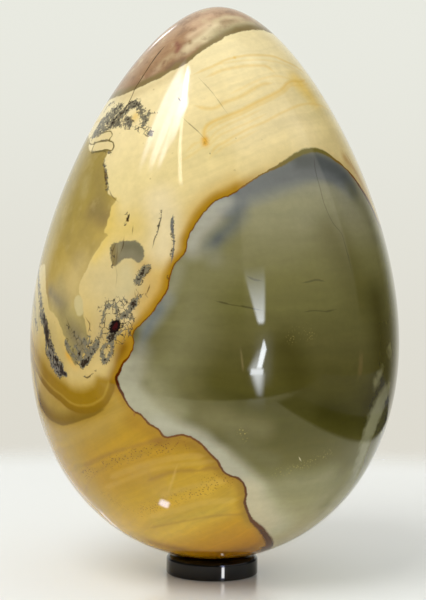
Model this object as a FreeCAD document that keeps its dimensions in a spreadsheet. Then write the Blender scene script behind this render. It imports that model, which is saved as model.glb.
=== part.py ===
# A polished stone egg that stands upright in a small hematite ring.
# Units are millimetres, +Z is up, and the origin is the middle of the ring's foot.

import FreeCAD, Part
import Sketcher
import math
import os

FULL_TURN = 360

# Driving sizes. Each one is a cell of the spreadsheet, under the same alias.
SIZES = {
    "egg_height": 131.4,
    "egg_radius": 44.0,
    "ring_radius": 11.0,
    "ring_height": 4.6,
    "bore_radius": 6.0,
    "shoulder_round": 1.1,
    "foot_round": 0.5,
    "lip_round": 0.6,
    "bore_round": 0.3,
    "seat_clearance": 0.1,
}

# The egg's half outline is one smooth curve of degree five, from the blunt end to the tip.
# Each pole is a share of the egg's radius, then a share of its height.
EGG_POLE_SHARES = (
    (0, 0),
    (0.9756, 0),
    (1.2048, 0.380),
    (1.1908, 0.457),
    (0.5834, 1),
    (0, 1),
)

# No rounding takes more than this share of the ring's wall or height.
ROUNDING_LIMIT_SHARE = 0.45

# How closely an edge has to match the place where it is looked for.
EDGE_MATCH = 1e-6
SEARCH_STEPS = 60

# How a sketch numbers its own x axis, which starts at the origin, and the points of a curve.
X_AXIS = -1
START, END, CENTRE = 1, 2, 3


def make_sheet(doc):
    """Writes the driving sizes to a spreadsheet, one aliased cell each."""
    sheet = doc.addObject("Spreadsheet::Sheet", "sizes")
    for row, (alias, value) in enumerate(SIZES.items(), start=1):
        sheet.set(f"A{row}", alias)
        sheet.set(f"B{row}", str(value))
        sheet.setAlias(f"B{row}", alias)
    doc.recompute()
    return sheet


def new_body(doc, name):
    """Adds an empty body whose label names its file."""
    body = doc.addObject("PartDesign::Body", name)
    body.Label = name
    return body


def upright_sketch(body, name):
    """Adds a sketch on the body's own XZ plane: its x is the radius and its y is the height."""
    sketch = body.newObject("Sketcher::SketchObject", name)
    plane = next(f for f in body.Origin.OriginFeatures if f.Role == "XZ_Plane")
    sketch.AttachmentSupport = [(plane, "")]
    sketch.MapMode = "FlatFace"
    return sketch


def fix_distance(sketch, kind, geometry, point, expression):
    """Binds one point's distance from the sketch origin, along x or y, to an expression."""
    name = f"{kind}_{geometry}_{point}"
    distance = FreeCAD.Units.Quantity(sketch.evalExpression(expression)).Value
    constraint = Sketcher.Constraint(kind, X_AXIS, START, geometry, point, distance)
    index = sketch.addConstraint(constraint)
    sketch.renameConstraint(index, name)
    sketch.setExpression(f"Constraints.{name}", expression)


def revolve(body, sketch, name):
    """Turns the sketch a full turn about its vertical axis."""
    turned = body.newObject("PartDesign::Revolution", name)
    turned.Profile = sketch
    turned.ReferenceAxis = (sketch, ["V_Axis"])
    turned.Angle = FULL_TURN
    sketch.Visibility = False
    return turned


def bernstein(order, i, t):
    """One Bernstein polynomial at t."""
    return math.comb(order, i) * t**i * (1 - t) ** (order - i)


def curve_point(poles, t):
    """The point at t of the one-span curve with these poles."""
    order = len(poles) - 1
    x = sum(bernstein(order, i, t) * p[0] for i, p in enumerate(poles))
    y = sum(bernstein(order, i, t) * p[1] for i, p in enumerate(poles))
    return x, y


def egg_poles(sheet):
    """The egg outline's poles as lengths: radius, then height above the blunt end."""
    return [
        (r_share * sheet.egg_radius, z_share * sheet.egg_height)
        for r_share, z_share in EGG_POLE_SHARES
    ]


def make_egg(doc, sheet):
    """The egg: its half outline is closed by a line on the axis and turned a full turn."""
    body = new_body(doc, "egg")
    sketch = upright_sketch(body, "egg_outline")
    poles = [FreeCAD.Vector(x, y, 0) for x, y in egg_poles(sheet)]
    order = len(poles) - 1
    curve = Part.BSplineCurve()
    curve.buildFromPolesMultsKnots(poles, [order + 1, order + 1], [0, 1], False, order)
    outline = sketch.addGeometry(curve, False)
    sketch.exposeInternalGeometry(outline)
    for number, (r_share, z_share) in enumerate(EGG_POLE_SHARES, start=outline + 1):
        fix_distance(sketch, "DistanceX", number, CENTRE, f"{r_share} * <<sizes>>.egg_radius")
        fix_distance(sketch, "DistanceY", number, CENTRE, f"{z_share} * <<sizes>>.egg_height")
    axis = sketch.addGeometry(Part.LineSegment(poles[-1], poles[0]), False)
    sketch.addConstraint(Sketcher.Constraint("Coincident", axis, START, outline, END))
    sketch.addConstraint(Sketcher.Constraint("Coincident", axis, END, outline, START))
    revolve(body, sketch, "egg_turned")
    return body


def round_edge(body, base, name, radius, height, expression):
    """Rounds the ring's circular edge that has this radius and height."""
    doc = body.Document
    doc.recompute()
    found = [
        f"Edge{i}"
        for i, edge in enumerate(base.Shape.Edges, start=1)
        if isinstance(edge.Curve, Part.Circle)
        and abs(edge.Curve.Radius - radius) < EDGE_MATCH
        and abs(edge.Curve.Center.z - height) < EDGE_MATCH
    ]
    if len(found) != 1:
        raise RuntimeError(f"{name}: found {len(found)} edges to round")
    fillet = body.newObject("PartDesign::Fillet", name)
    fillet.Base = (base, found)
    fillet.setExpression("Radius", expression)
    return fillet


def limited(alias):
    """An expression for a rounding that leaves some of the ring's wall and height flat."""
    wall = "(<<sizes>>.ring_radius - <<sizes>>.bore_radius)"
    limits = f"{ROUNDING_LIMIT_SHARE} * {wall}; {ROUNDING_LIMIT_SHARE} * <<sizes>>.ring_height"
    return f"min(<<sizes>>.{alias}; {limits})"


def make_ring(doc, sheet):
    """The ring stand: a thick washer with rounded edges and a rounded lip for the egg."""
    body = new_body(doc, "ring_stand")
    sketch = upright_sketch(body, "ring_section")
    inner, outer, top = sheet.bore_radius, sheet.ring_radius, sheet.ring_height
    corners = [
        FreeCAD.Vector(inner, 0, 0),
        FreeCAD.Vector(outer, 0, 0),
        FreeCAD.Vector(outer, top, 0),
        FreeCAD.Vector(inner, top, 0),
    ]
    sides = [
        sketch.addGeometry(Part.LineSegment(a, b), False)
        for a, b in zip(corners, corners[1:] + corners[:1])
    ]
    for side, following in zip(sides, sides[1:] + sides[:1]):
        sketch.addConstraint(Sketcher.Constraint("Coincident", side, END, following, START))
    for side, direction in zip(sides, ("Horizontal", "Vertical", "Horizontal", "Vertical")):
        sketch.addConstraint(Sketcher.Constraint(direction, side))
    foot, wall = sides[0], sides[1]
    sketch.addConstraint(Sketcher.Constraint("PointOnObject", foot, START, X_AXIS))
    fix_distance(sketch, "DistanceX", foot, START, "<<sizes>>.bore_radius")
    fix_distance(sketch, "DistanceX", foot, END, "<<sizes>>.ring_radius")
    fix_distance(sketch, "DistanceY", wall, END, "<<sizes>>.ring_height")
    shape = revolve(body, sketch, "ring_turned")
    shape = round_edge(body, shape, "shoulder", outer, top, limited("shoulder_round"))
    shape = round_edge(body, shape, "foot", outer, 0, limited("foot_round"))
    shape = round_edge(body, shape, "lip", inner, top, limited("lip_round"))
    round_edge(body, shape, "bore_foot", inner, 0, limited("bore_round"))
    return body


def seated_height(sheet, lip_radius):
    """How high the egg's blunt end sits when its side lies the clearance above the lip.

    The lip is a circle of lip_radius in section. The egg's outline, moved outwards by that
    radius and the clearance, passes through the circle's centre. The search halves the span
    of t until the moved outline is as far from the axis as the centre is.
    """
    poles = egg_poles(sheet)
    reach = lip_radius + sheet.seat_clearance
    centre_radius = sheet.bore_radius + lip_radius
    centre_height = sheet.ring_height - lip_radius
    order = len(poles) - 1
    slopes = [
        (order * (b[0] - a[0]), order * (b[1] - a[1])) for a, b in zip(poles, poles[1:])
    ]

    def moved(t):
        x, z = curve_point(poles, t)
        dx, dz = curve_point(slopes, t)
        length = math.hypot(dx, dz)
        return x + reach * dz / length, z - reach * dx / length

    low, high = 0, 0.5
    for _ in range(SEARCH_STEPS):
        middle = (low + high) / 2
        if moved(middle)[0] < centre_radius:
            low = middle
        else:
            high = middle
    return centre_height - moved(low)[1]


def check(doc, bodies):
    """Stops if an object failed or a shape isn't one valid solid."""
    for item in doc.Objects:
        if {"Invalid", "Error"} & set(item.State):
            raise RuntimeError(f"{item.Label} failed: {item.State}")
    for body in bodies:
        shape = body.Shape
        if shape.isNull() or not shape.isValid() or len(shape.Solids) != 1:
            raise RuntimeError(f"{body.Label} isn't one valid solid")
        print(f"{body.Label}: volume {shape.Volume:.1f} mm3, box {shape.BoundBox}")


def main():
    doc = FreeCAD.newDocument("egg_on_ring_stand")
    sheet = make_sheet(doc)
    ring = make_ring(doc, sheet)
    egg = make_egg(doc, sheet)
    doc.recompute()
    lip_radius = doc.getObject("lip").Radius.Value
    egg.Placement = FreeCAD.Placement(
        FreeCAD.Vector(0, 0, seated_height(sheet, lip_radius)), FreeCAD.Rotation()
    )
    doc.recompute()
    check(doc, (ring, egg))
    os.makedirs("parts", exist_ok=True)
    for body in (ring, egg):
        body.Shape.exportStep(os.path.join("parts", f"{body.Label}.step"))


main()
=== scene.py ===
# A polished jasper egg on a small hematite ring, on a pale table.
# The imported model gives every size; patterns on the stone are laid out from the photo's camera.

import math

import bpy
import numpy as np
from mathutils import Matrix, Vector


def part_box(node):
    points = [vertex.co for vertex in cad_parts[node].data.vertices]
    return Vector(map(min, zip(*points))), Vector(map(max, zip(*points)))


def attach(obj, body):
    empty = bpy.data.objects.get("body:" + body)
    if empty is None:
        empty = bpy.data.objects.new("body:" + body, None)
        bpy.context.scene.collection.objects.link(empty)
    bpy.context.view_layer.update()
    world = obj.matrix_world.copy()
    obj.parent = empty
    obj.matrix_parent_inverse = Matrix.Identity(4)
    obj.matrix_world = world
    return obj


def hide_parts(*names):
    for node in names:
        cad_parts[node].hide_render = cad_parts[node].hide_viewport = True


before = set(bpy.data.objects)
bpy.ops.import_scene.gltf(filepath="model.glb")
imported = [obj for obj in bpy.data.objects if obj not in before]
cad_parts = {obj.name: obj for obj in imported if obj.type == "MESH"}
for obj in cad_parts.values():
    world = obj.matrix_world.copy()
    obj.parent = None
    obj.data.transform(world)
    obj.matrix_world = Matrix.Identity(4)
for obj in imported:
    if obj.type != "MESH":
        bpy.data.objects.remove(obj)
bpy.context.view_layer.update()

metresPerMm = 0.001
seeds = np.random.default_rng(511)

nodeModes = {"Math": "operation", "VectorMath": "operation", "MapRange": "interpolation_type",
             "Mix": "data_type", "TexVoronoi": "feature"}


def toLinear(hexColour):  # an sRGB hex value as linear red, green, blue and 1
    parts = [int(hexColour[i:i + 2], 16) / 255 for i in (1, 3, 5)]
    return (*[c / 12.92 if c <= 0.04045 else ((c + 0.055) / 1.055) ** 2.4 for c in parts], 1.0)


def addNode(tree, kind, inputs=(), stops=(), **settings):
    # The kind may end with the node's mode, as in "Math MULTIPLY". Inputs go by number or by name: values,
    # hex colours, sockets, or nodes, which give their first output. Stops are a ramp's places and colours.
    kind, *mode = kind.split()
    node = tree.nodes.new("ShaderNode" + kind)
    settings.update({nodeModes[kind]: m for m in mode})
    for name, value in settings.items():
        setattr(node, name, value)
    for key, value in (inputs if isinstance(inputs, dict) else dict(enumerate(inputs))).items():
        value = value.outputs[0] if isinstance(value, bpy.types.Node) else value
        if isinstance(value, bpy.types.NodeSocket):
            tree.links.new(value, node.inputs[key])
        else:
            node.inputs[key].default_value = toLinear(value) if isinstance(value, str) else value
    for n, (at, shade) in enumerate(stops):
        stop = node.color_ramp.elements[n] if n < 2 else node.color_ramp.elements.new(at)
        stop.position, stop.color = at, toLinear(shade)
    return node


def newMaterial(name):
    material = bpy.data.materials.new(name)
    material.use_nodes = True
    material.node_tree.nodes.clear()
    return material, material.node_tree


def addObject(name, data):
    thing = bpy.data.objects.new(name, data)
    bpy.context.scene.collection.objects.link(thing)
    return thing


def newObject(name, points, faces):  # points in metres, faces as a list of index arrays
    mesh = bpy.data.meshes.new(name)
    mesh.from_pydata(points.tolist(), [], [f for group in faces for f in group.tolist()])
    mesh.validate()
    mesh.polygons.foreach_set("use_smooth", np.ones(len(mesh.polygons), bool))
    mesh.update()
    return addObject(name, mesh)


def gridFaces(rows, columns, wrapRows=False, wrapColumns=False):
    # quads of a grid of points kept row by row; a wrapped direction joins its last line to its first
    lastRow, lastColumn = rows - (not wrapRows), columns - (not wrapColumns)
    i, j = np.meshgrid(np.arange(lastRow), np.arange(lastColumn), indexing="ij")
    nextI, nextJ = (i + 1) % rows, (j + 1) % columns
    corners = (i * columns + j, i * columns + nextJ, nextI * columns + nextJ, nextI * columns + j)
    return np.stack([c.ravel() for c in corners], -1)


def smoothStep(low, high, x):  # 0 to 1 between low and high, as t t (3 - 2 t)
    t = np.clip((x - low) / (high - low), 0, 1)
    return t * t * (3 - 2 * t)


def between(low, high, lowSoft, highSoft, x):  # 1 from low to high, fading out over the softness at each end
    fall = smoothStep(high - highSoft, high + highSoft, x)
    return smoothStep(low - lowSoft, low + lowSoft, x) * (1 - fall)


def standing(right, up, back, place):  # the matrix of a thing with these axes at the place
    matrix = np.eye(4)
    matrix[:3] = np.stack([right, up, back, place], 1)
    return Matrix(matrix.tolist())


# The camera, fitted to the egg's outline and the ring in the photo.

cameraFit = {
    "place": (0.0, -600.0, 127.0),  # mm, with the ring's foot at the origin
    "pitchDown": 5.8,  # degrees
    "yaw": -0.05,
    "roll": 0.69,
    "focalPixels": 2527.0,
    "imageSize": (426, 600),
    "sensor": 36.0,
    "clip": (0.01, 20.0),  # m
}


def cameraAxes():  # unit vectors to the right, up and forwards of the fitted camera
    pitch, yaw, roll = (math.radians(cameraFit[k]) for k in ("pitchDown", "yaw", "roll"))
    forward = np.array([math.sin(yaw) * math.cos(pitch), math.cos(yaw) * math.cos(pitch), -math.sin(pitch)])
    right = np.cross(forward, [0.0, 0.0, 1.0])
    right /= np.linalg.norm(right)
    up = np.cross(right, forward)
    c, s = math.cos(roll), math.sin(roll)
    return c * right + s * up, -s * right + c * up, forward


def addCamera():
    right, up, forward = cameraAxes()
    lens = bpy.data.cameras.new("camera")
    lens.sensor_width = cameraFit["sensor"]
    lens.lens = cameraFit["focalPixels"] * cameraFit["sensor"] / max(cameraFit["imageSize"])
    lens.clip_start, lens.clip_end = cameraFit["clip"]
    lens.dof.use_dof = False
    camera = addObject("camera", lens)
    camera.matrix_world = standing(right, up, -forward, np.array(cameraFit["place"]) * metresPerMm)
    bpy.context.scene.camera = camera


addCamera()
bpy.context.scene.view_settings.view_transform = "Standard"
print("camera set")


# The egg's outline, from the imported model's box.

eggLayout = {
    "columns": 400,
    "rows": 244,
    "frontShare": 0.25,  # how much closer the columns are at the front
    "outlineSteps": 4001,
    # poles of the degree five outline: share of the radius, then share of the height
    "poles": ((0, 0), (0.9756, 0), (1.2048, 0.380), (1.1908, 0.457), (0.5834, 1), (0, 1)),
}
eggLow, eggHigh = (np.array(c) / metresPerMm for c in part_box("egg"))
eggRadius = (eggHigh[0] - eggLow[0]) / 2
eggBase, eggTop = eggLow[2], eggHigh[2]


def eggOutline(count):
    # a Bezier curve: the sum over the poles of C(5, i) t^i (1 - t)^(5 - i) times the pole
    t = np.linspace(0, 1, count)
    order = len(eggLayout["poles"]) - 1
    weights = np.array([math.comb(order, i) * t**i * (1 - t) ** (order - i) for i in range(order + 1)])
    curve = weights.T @ np.array(eggLayout["poles"], float)
    radius = curve[:, 0] / curve[:, 0].max() * eggRadius
    height = eggBase + curve[:, 1] * (eggTop - eggBase)
    side = np.concatenate([[0], np.cumsum(np.hypot(np.diff(radius), np.diff(height)))])
    return radius, height, side


outlineRadius, outlineHeight, outlineSide = eggOutline(eggLayout["outlineSteps"])
sideLength = outlineSide[-1]


def onEgg(lon, side):  # degrees from the front and mm along the side to a point in mm
    radius = np.interp(side, outlineSide, outlineRadius)
    height = np.interp(side, outlineSide, outlineHeight)
    angle = np.radians(lon)
    return np.stack([radius * np.sin(angle), -radius * np.cos(angle), height], -1)


def eggNormals(lon, side, step=0.05):  # square to the outline's slope between a step below and a step above
    low, high = np.clip(side - step, 0, sideLength), np.clip(side + step, 0, sideLength)
    dr = np.interp(high, outlineSide, outlineRadius) - np.interp(low, outlineSide, outlineRadius)
    dz = np.interp(high, outlineSide, outlineHeight) - np.interp(low, outlineSide, outlineHeight)
    length = np.hypot(dr, dz)
    angle = np.radians(lon)
    return np.stack([np.sin(angle) * dz / length, -np.cos(angle) * dz / length, -dr / length], -1)


# The stage: a wall, a table top, a key lamp and cards of light.

stageLook = {
    "wallTop": "#e9eae1",
    "wallLow": "#dedbd0",
    "wallBlend": (-0.17, 0.03),  # upward slope of a view ray where the wall turns from low to top
    "fill": (1.0, 0.985, 0.95, 1.0),
    "fillLevel": 0.70,
    "table": "#f2f5f6",
    "tableIor": 1.42,
    "tableRoughness": 0.14,
    "tableSize": 0.36,
    "tableGrid": (24, 96),  # rings and spokes
    "tableRadius": 0.172,  # where its rim fades into the wall
    "tableSquash": (0.6, 1.0, 1.0),
    "tableFade": (0.007, 0.026),  # how softly, at its front edge and at its back edge
    "tableMiddle": 0.05,  # the softness changes over this far before and behind the middle
    "keyPower": 10.2,
    "keyTone": (1.0, 0.985, 0.955),
    "keyPlace": (-0.50, -0.66, 1.15),
    "keySize": 0.85,
    "aim": (0.0, 0.0, 0.07),  # the middle of the egg, which the lamp and the cards face
    "cardGrid": (90, 70),  # points across and up
    "cardRise": 0.7,  # the power by which a card's level runs from its foot to its top
    "tableCardGrid": (90, 90),
    "tableCardLift": (0.3, 0.1),  # mm above the table: the first one, and each further one over the last
}


def stageOnly(thing, glossyOnly=False):
    if glossyOnly:
        thing.visible_camera = False
        thing.visible_diffuse = False
        thing.visible_shadow = False
        thing.visible_transmission = False


def addWorld():
    # seen directly and in reflections the world is the pale wall; the rest of the light is a plain fill
    world = bpy.data.worlds.new("studio")
    bpy.context.scene.world = world
    world.use_nodes = True
    tree = world.node_tree
    tree.nodes.clear()
    parts = addNode(tree, "SeparateXYZ", [addNode(tree, "TexCoord").outputs["Generated"]])
    climb = addNode(tree, "MapRange SMOOTHSTEP", [parts.outputs["Z"], *stageLook["wallBlend"]])
    wall = addNode(tree, "Mix RGBA", {0: climb, 6: stageLook["wallLow"], 7: stageLook["wallTop"]})
    seenWall = addNode(tree, "Background", [wall.outputs[2], 1.0])
    fill = addNode(tree, "Background", [stageLook["fill"], stageLook["fillLevel"]])
    path = addNode(tree, "LightPath")
    direct = path.outputs["Is Camera Ray"]
    for kind in ("Glossy", "Transmission"):
        direct = addNode(tree, "Math MAXIMUM", [direct, path.outputs[f"Is {kind} Ray"]])
    addNode(tree, "OutputWorld", [addNode(tree, "MixShader", [direct, fill, seenWall])])


def addTable():
    # a flat disc of rings and spokes; its rim fades into the wall
    rings, spokes = stageLook["tableGrid"]
    radius = np.linspace(0, stageLook["tableSize"], rings + 1)[1:]
    angle = np.linspace(0, 2 * np.pi, spokes, endpoint=False)
    grid = np.stack([np.outer(radius, np.cos(angle)), np.outer(radius, np.sin(angle)),
                     np.zeros((rings, spokes))], -1).reshape(-1, 3)
    j = np.arange(spokes)
    fan = np.stack([np.zeros_like(j), 1 + j, 1 + (j + 1) % spokes], -1)
    quads = 1 + gridFaces(rings, spokes, wrapColumns=True)[:, [0, 3, 2, 1]]
    table = newObject("table", np.vstack([[0, 0, 0], grid]), [fan, quads])
    # glossy painted board: a pale coat that mirrors the ring and the egg softly
    material, tree = newMaterial("glossy painted board")
    where = addNode(tree, "TexCoord").outputs["Object"]
    flat = addNode(tree, "VectorMath MULTIPLY", [where, stageLook["tableSquash"]])
    far = addNode(tree, "VectorMath LENGTH", [flat]).outputs["Value"]
    depth = addNode(tree, "SeparateXYZ", [where]).outputs["Y"]
    middle, rim = stageLook["tableMiddle"], stageLook["tableRadius"]
    soft = addNode(tree, "MapRange", [depth, -middle, middle, *stageLook["tableFade"]])
    low, high = (addNode(tree, "Math " + way, [rim, soft]) for way in ("SUBTRACT", "ADD"))
    fade = addNode(tree, "MapRange SMOOTHSTEP", [far, low, high])
    board = addNode(tree, "BsdfPrincipled", {"Base Color": stageLook["table"], "IOR": stageLook["tableIor"],
                                             "Roughness": stageLook["tableRoughness"]})
    both = addNode(tree, "MixShader", [fade, board, addNode(tree, "BsdfTransparent")])
    addNode(tree, "OutputMaterial", [both])
    table.data.materials.append(material)
    stageOnly(table)


def addKey():
    lamp = bpy.data.lights.new("key", "AREA")
    lamp.shape = "DISK"
    lamp.size = stageLook["keySize"]
    lamp.energy = stageLook["keyPower"]
    lamp.color = stageLook["keyTone"]
    key = addObject("key", lamp)
    place = np.array(stageLook["keyPlace"])
    back = place - stageLook["aim"]
    back /= np.linalg.norm(back)
    right = np.cross([0, 0, 1.0], back)
    right /= np.linalg.norm(right)
    key.matrix_world = standing(right, np.cross(back, right), back, place)
    key.visible_camera = False
    key.visible_glossy = False


# Cards that only reflections see, as flags and soft boxes round a product shot. Each row: degrees from the
# front (+ is right) of its two ends at its foot and at its top, and degrees above the horizon; then light
# level at the foot and top, softness in degrees of the sides, foot and top, distance in metres, and tone.
# The stone's polish warms every reflection, so the lamps and the window are set cool.
lampTone = (1.0, 1.05, 1.72)
windowTone = (0.96, 1.08, 1.75)
cards = {
    "darkRoom": ((-138, 148), (-134, 148), (-60, 75), (0.05, 0.05), (13, 10), 3.0, (1.0, 0.95, 0.85)),
    "wallPanel": ((18.5, 101), (18.5, 101), (10, 78), (0.55, 0.95), (2, 14), 2.8, (1.0, 0.98, 1.0)),
    "windowTop": ((26.4, 30.0), (17.8, 33.0), (6.9, 23), (13.5, 0.05), (1.2, 0.8, 6), 2.5, windowTone),
    "windowBulge": ((25.4, 28.4), (28.0, 31.2), (-8, -1.2), (19.0, 19.0), (0.6, 0.6), 2.5, windowTone),
    "windowNeck": ((28.0, 31.2), (29.2, 30.2), (-1.4, 1.4), (19.0, 14.0), (0.5, 0.8), 2.49, windowTone),
    "windowHaze": ((21.0, 27.0), (27.0, 30.6), (-8.4, -1.0), (9.0, 3.0), (2.6, 1.4), 2.56, windowTone),
    "windowFoot": ((21.6, 29.2), (22.0, 29.6), (-10.3, -8.1), (15.0, 15.0), (0.8, 0.5), 2.5, windowTone),
    "windowGlow": ((27.4, 29.6), (22.5, 29.4), (-19, -9.6), (1.2, 12.0), (2.4, 1.4), 2.55, windowTone),
    "windowHalo": ((23.0, 33.0), (26.0, 34.0), (-13, 3), (1.4, 0.8), (4.5, 4.0), 2.7, windowTone),
    "warmStreak": ((16.6, 17.6), (15.0, 15.9), (-8.0, -1.0), (2.4, 1.4), (0.7, 1.8), 2.5, (1.0, 0.74, 0.6)),
    "lampOval": ((-58, -47.5), (-76, -63), (58.5, 65), (15.0, 16.0), (2.6, 1.8), 2.4, lampTone),
    "lampTail": ((-56, -49), (-58, -45), (47, 59), (2.5, 13.0), (2.2, 2.0), 2.42, lampTone),
    "lampRayLeft": ((-75, -71), (-82, -72), (38, 56), (3.5, 6.5), (2.2, 3), 2.45, lampTone),
    "lampRayMiddle": ((-66, -61), (-68, -56), (40, 60), (5.0, 9.0), (1.6, 2.2), 2.46, lampTone),
    "lampRayRight": ((-57.5, -54), (-57, -48), (41.5, 57), (5.0, 8.0), (1.4, 1.6), 2.47, lampTone),
    "lampGlow": ((-76, -57), (-86, -52), (41, 62), (2.4, 8.0), (6, 4), 2.7, lampTone),
    "warmTube": ((-33.6, -29.9), (-48.8, -44.6), (41, 54.5), (6.0, 6.5), (0.8, 1.0), 2.4, (1.0, 1.0, 1.25)),
    "rimLamp": ((-162, -158.5), (-160, -156.0), (18, 27), (4.0, 4.0), (1.2, 2.0), 2.5, (1.0, 1.0, 1.1)),
    "barReflection": ((99, 103), (99, 103), (-16, -6), (0.5, 0.5), (1.0, 1.5), 2.5, (1.0, 0.55, 0.38)),
}
# The same on the table top, in mm.
tableCards = {
    "shade": {"x": (96, 300), "y": (-139, 160), "soft": (4, 12), "level": 0.03},
    "shadeEnd": {"x": (137, 300), "y": (-139, 160), "soft": (4, 12), "level": 0.1},
    "shadeLeft": {"x": (-330, -112), "y": (-75, 170), "soft": (14, 30), "level": 0.12},
    "lampSpot": {"x": (-21.9, -17.7), "y": (-35.8, -32.2), "soft": (0.9, 0.9), "level": 9.0},
    "ringStreak": {"tone": (1.0, 1.0, 1.0), "x": (-3.0, -2.2), "y": -12.4, "z": (0.5, 3.2),
        "soft": (0.25, 0.3), "level": 20.0, "turn": 27.6},
    "lampGlint": {"x": (-37.5, -28.0), "y": (12.5, 16.5), "soft": (2.2, 1.8),
        "level": 1.7, "tone": (1.0, 1.0, 1.2)},
}


def cardMaterial():
    # lit cloth: level and softness come from the card itself, and its back lets everything through
    material, tree = newMaterial("lit card")
    light = addNode(tree, "Attribute", attribute_name="cardLight")
    front = addNode(tree, "Math SUBTRACT", [1.0, addNode(tree, "NewGeometry").outputs["Backfacing"]])
    cover = addNode(tree, "Math MULTIPLY", [light.outputs["Alpha"], front])
    glow = addNode(tree, "Emission", [light.outputs["Color"]])
    both = addNode(tree, "MixShader", [cover, addNode(tree, "BsdfTransparent"), glow])
    addNode(tree, "OutputMaterial", [both])
    return material


def addCard(name, material, grid, cover, level, tone, turned):
    quads = gridFaces(*cover.shape)
    piece = newObject("card." + name, grid.reshape(-1, 3), [quads[:, ::-1] if turned else quads])
    light = np.concatenate([np.array(tone) * np.broadcast_to(level, cover.shape)[..., None],
                            cover[..., None]], -1)
    layer = piece.data.color_attributes.new("cardLight", "FLOAT_COLOR", "POINT")
    layer.data.foreach_set("color", light.ravel().astype(np.float32))
    piece.data.materials.append(material)
    stageOnly(piece, glossyOnly=True)


def addCards():
    # each card is a patch of a sphere round the egg, on a grid of directions that leans from foot to top
    material = cardMaterial()
    centre = np.array(stageLook["aim"])
    wide, tall = stageLook["cardGrid"]
    for name, (foot, top, (low, high), levels, soft, distance, tone) in cards.items():
        a, b, c = (*soft, soft[1])[:3]
        across, lat = np.meshgrid(np.linspace(0, 1, wide), np.linspace(low - b, high + c, tall))
        share = np.clip((lat - low) / (high - low), 0, 1)
        left, right = (foot[n] + (top[n] - foot[n]) * share for n in (0, 1))
        lon = left - a + across * (right - left + 2 * a)
        angle, rise = np.radians(lon), np.radians(lat)
        ray = np.stack([np.sin(angle) * np.cos(rise), -np.cos(angle) * np.cos(rise), np.sin(rise)], -1)
        cover = between(left, right, a, a, lon) * between(low, high, b, c, lat)
        level = levels[0] + (levels[1] - levels[0]) * share ** stageLook["cardRise"]
        addCard(name, material, centre + distance * ray, cover, level, tone, True)
    wide, deep = stageLook["tableCardGrid"]
    lift, further = stageLook["tableCardLift"]
    for n, (name, card) in enumerate(tableCards.items()):
        upright = "z" in card
        (left, right), (near, far), (a, b) = card["x"], card["z"] if upright else card["y"], card["soft"]
        x, v = np.meshgrid(np.linspace(left - a, right + a, wide), np.linspace(near - b, far + b, deep))
        cover = between(left, right, a, a, x) * between(near, far, b, b, v)
        y, z = (card["y"], v) if upright else (v, np.full_like(x, lift + further * n))
        turn = np.radians(card.get("turn", 0))
        grid = np.stack([x * np.cos(turn) - y * np.sin(turn), x * np.sin(turn) + y * np.cos(turn),
                         z], -1) * metresPerMm
        addCard("table." + name, material, grid, cover, card["level"], card.get("tone", lampTone), upright)


addWorld()
addTable()
addKey()
addCards()
print("stage set")


# The egg.

def eggMesh():
    # columns at turn angle t stand at longitude t - frontShare sin t, rows are evenly spaced along the side
    columns, rows = eggLayout["columns"], eggLayout["rows"]
    turn = np.linspace(-np.pi, np.pi, columns, endpoint=False)
    lon = np.degrees(turn - eggLayout["frontShare"] * np.sin(turn))
    side = np.linspace(0, sideLength, rows + 2)[1:-1]
    sideGrid, lonGrid = np.meshgrid(side, lon, indexing="ij")
    lonAll = np.concatenate([[0], lonGrid.ravel(), [0]])
    sideAll = np.concatenate([[0], sideGrid.ravel(), [sideLength]])
    points = onEgg(lonAll, sideAll)
    j = np.arange(columns)
    k = (j + 1) % columns
    last = 1 + (rows - 1) * columns
    foot = np.stack([np.zeros_like(j), 1 + k, 1 + j], -1)
    tip = np.stack([last + j, last + k, np.full_like(j, len(points) - 1)], -1)
    quads = 1 + gridFaces(rows, columns, wrapColumns=True)
    piece = newObject("jasperEgg", points * metresPerMm, [foot, quads, tip])
    return piece, lonAll, sideAll, points


egg, vertexLon, vertexSide, vertexPoints = eggMesh()
vertexNormals = eggNormals(vertexLon, vertexSide)
vertexCount = len(vertexPoints)
vertexBlock = 6000  # vertices taken at a time, to spare memory
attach(egg, "egg")
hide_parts("egg")
print("egg made,", len(egg.data.polygons), "faces")


# Tools that lay a pattern on the egg.

def seen(pixels):
    # a pixel's ray is stepped through the egg, and lands where it first comes nearer the axis than the side
    right, up, forward = cameraAxes()
    place = np.array(cameraFit["place"])
    pixels = np.array(pixels, float)
    width, height = cameraFit["imageSize"]
    x = (pixels[:, 0] - width / 2) / cameraFit["focalPixels"]
    y = (height / 2 - pixels[:, 1]) / cameraFit["focalPixels"]
    ray = forward + x[:, None] * right + y[:, None] * up
    ray /= np.linalg.norm(ray, axis=1)[:, None]
    reach = np.linspace(530, 660, 1301)  # mm from the camera, which takes in the whole egg
    points = place + ray[:, None, :] * reach[None, :, None]
    gap = np.hypot(points[..., 0], points[..., 1])
    gap = gap - np.interp(points[..., 2], outlineHeight, outlineRadius)
    met = (gap < 0).any(1)
    row = np.arange(len(pixels))
    after = np.where(met, (gap < 0).argmax(1), gap.argmin(1))
    before = np.where(met, after - 1, after)
    share = np.where(met, gap[row, before] / (gap[row, before] - gap[row, after] + 1e-12), 0)
    spot = points[row, before] * (1 - share[:, None]) + points[row, after] * share[:, None]
    lon = np.degrees(np.arctan2(spot[:, 0], -spot[:, 1]))
    return np.stack([lon, np.interp(spot[:, 2], outlineHeight, outlineSide)], -1)


def laidOut(part):
    # a part's rows with their paths as longitude and side: those in sight, then the hidden ones
    rows = [(seen(row[0]), *row[1:]) for row in part["seen"]]
    return rows + [(np.array(row[0], float), *row[1:]) for row in part.get("hidden", ())]


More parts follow.
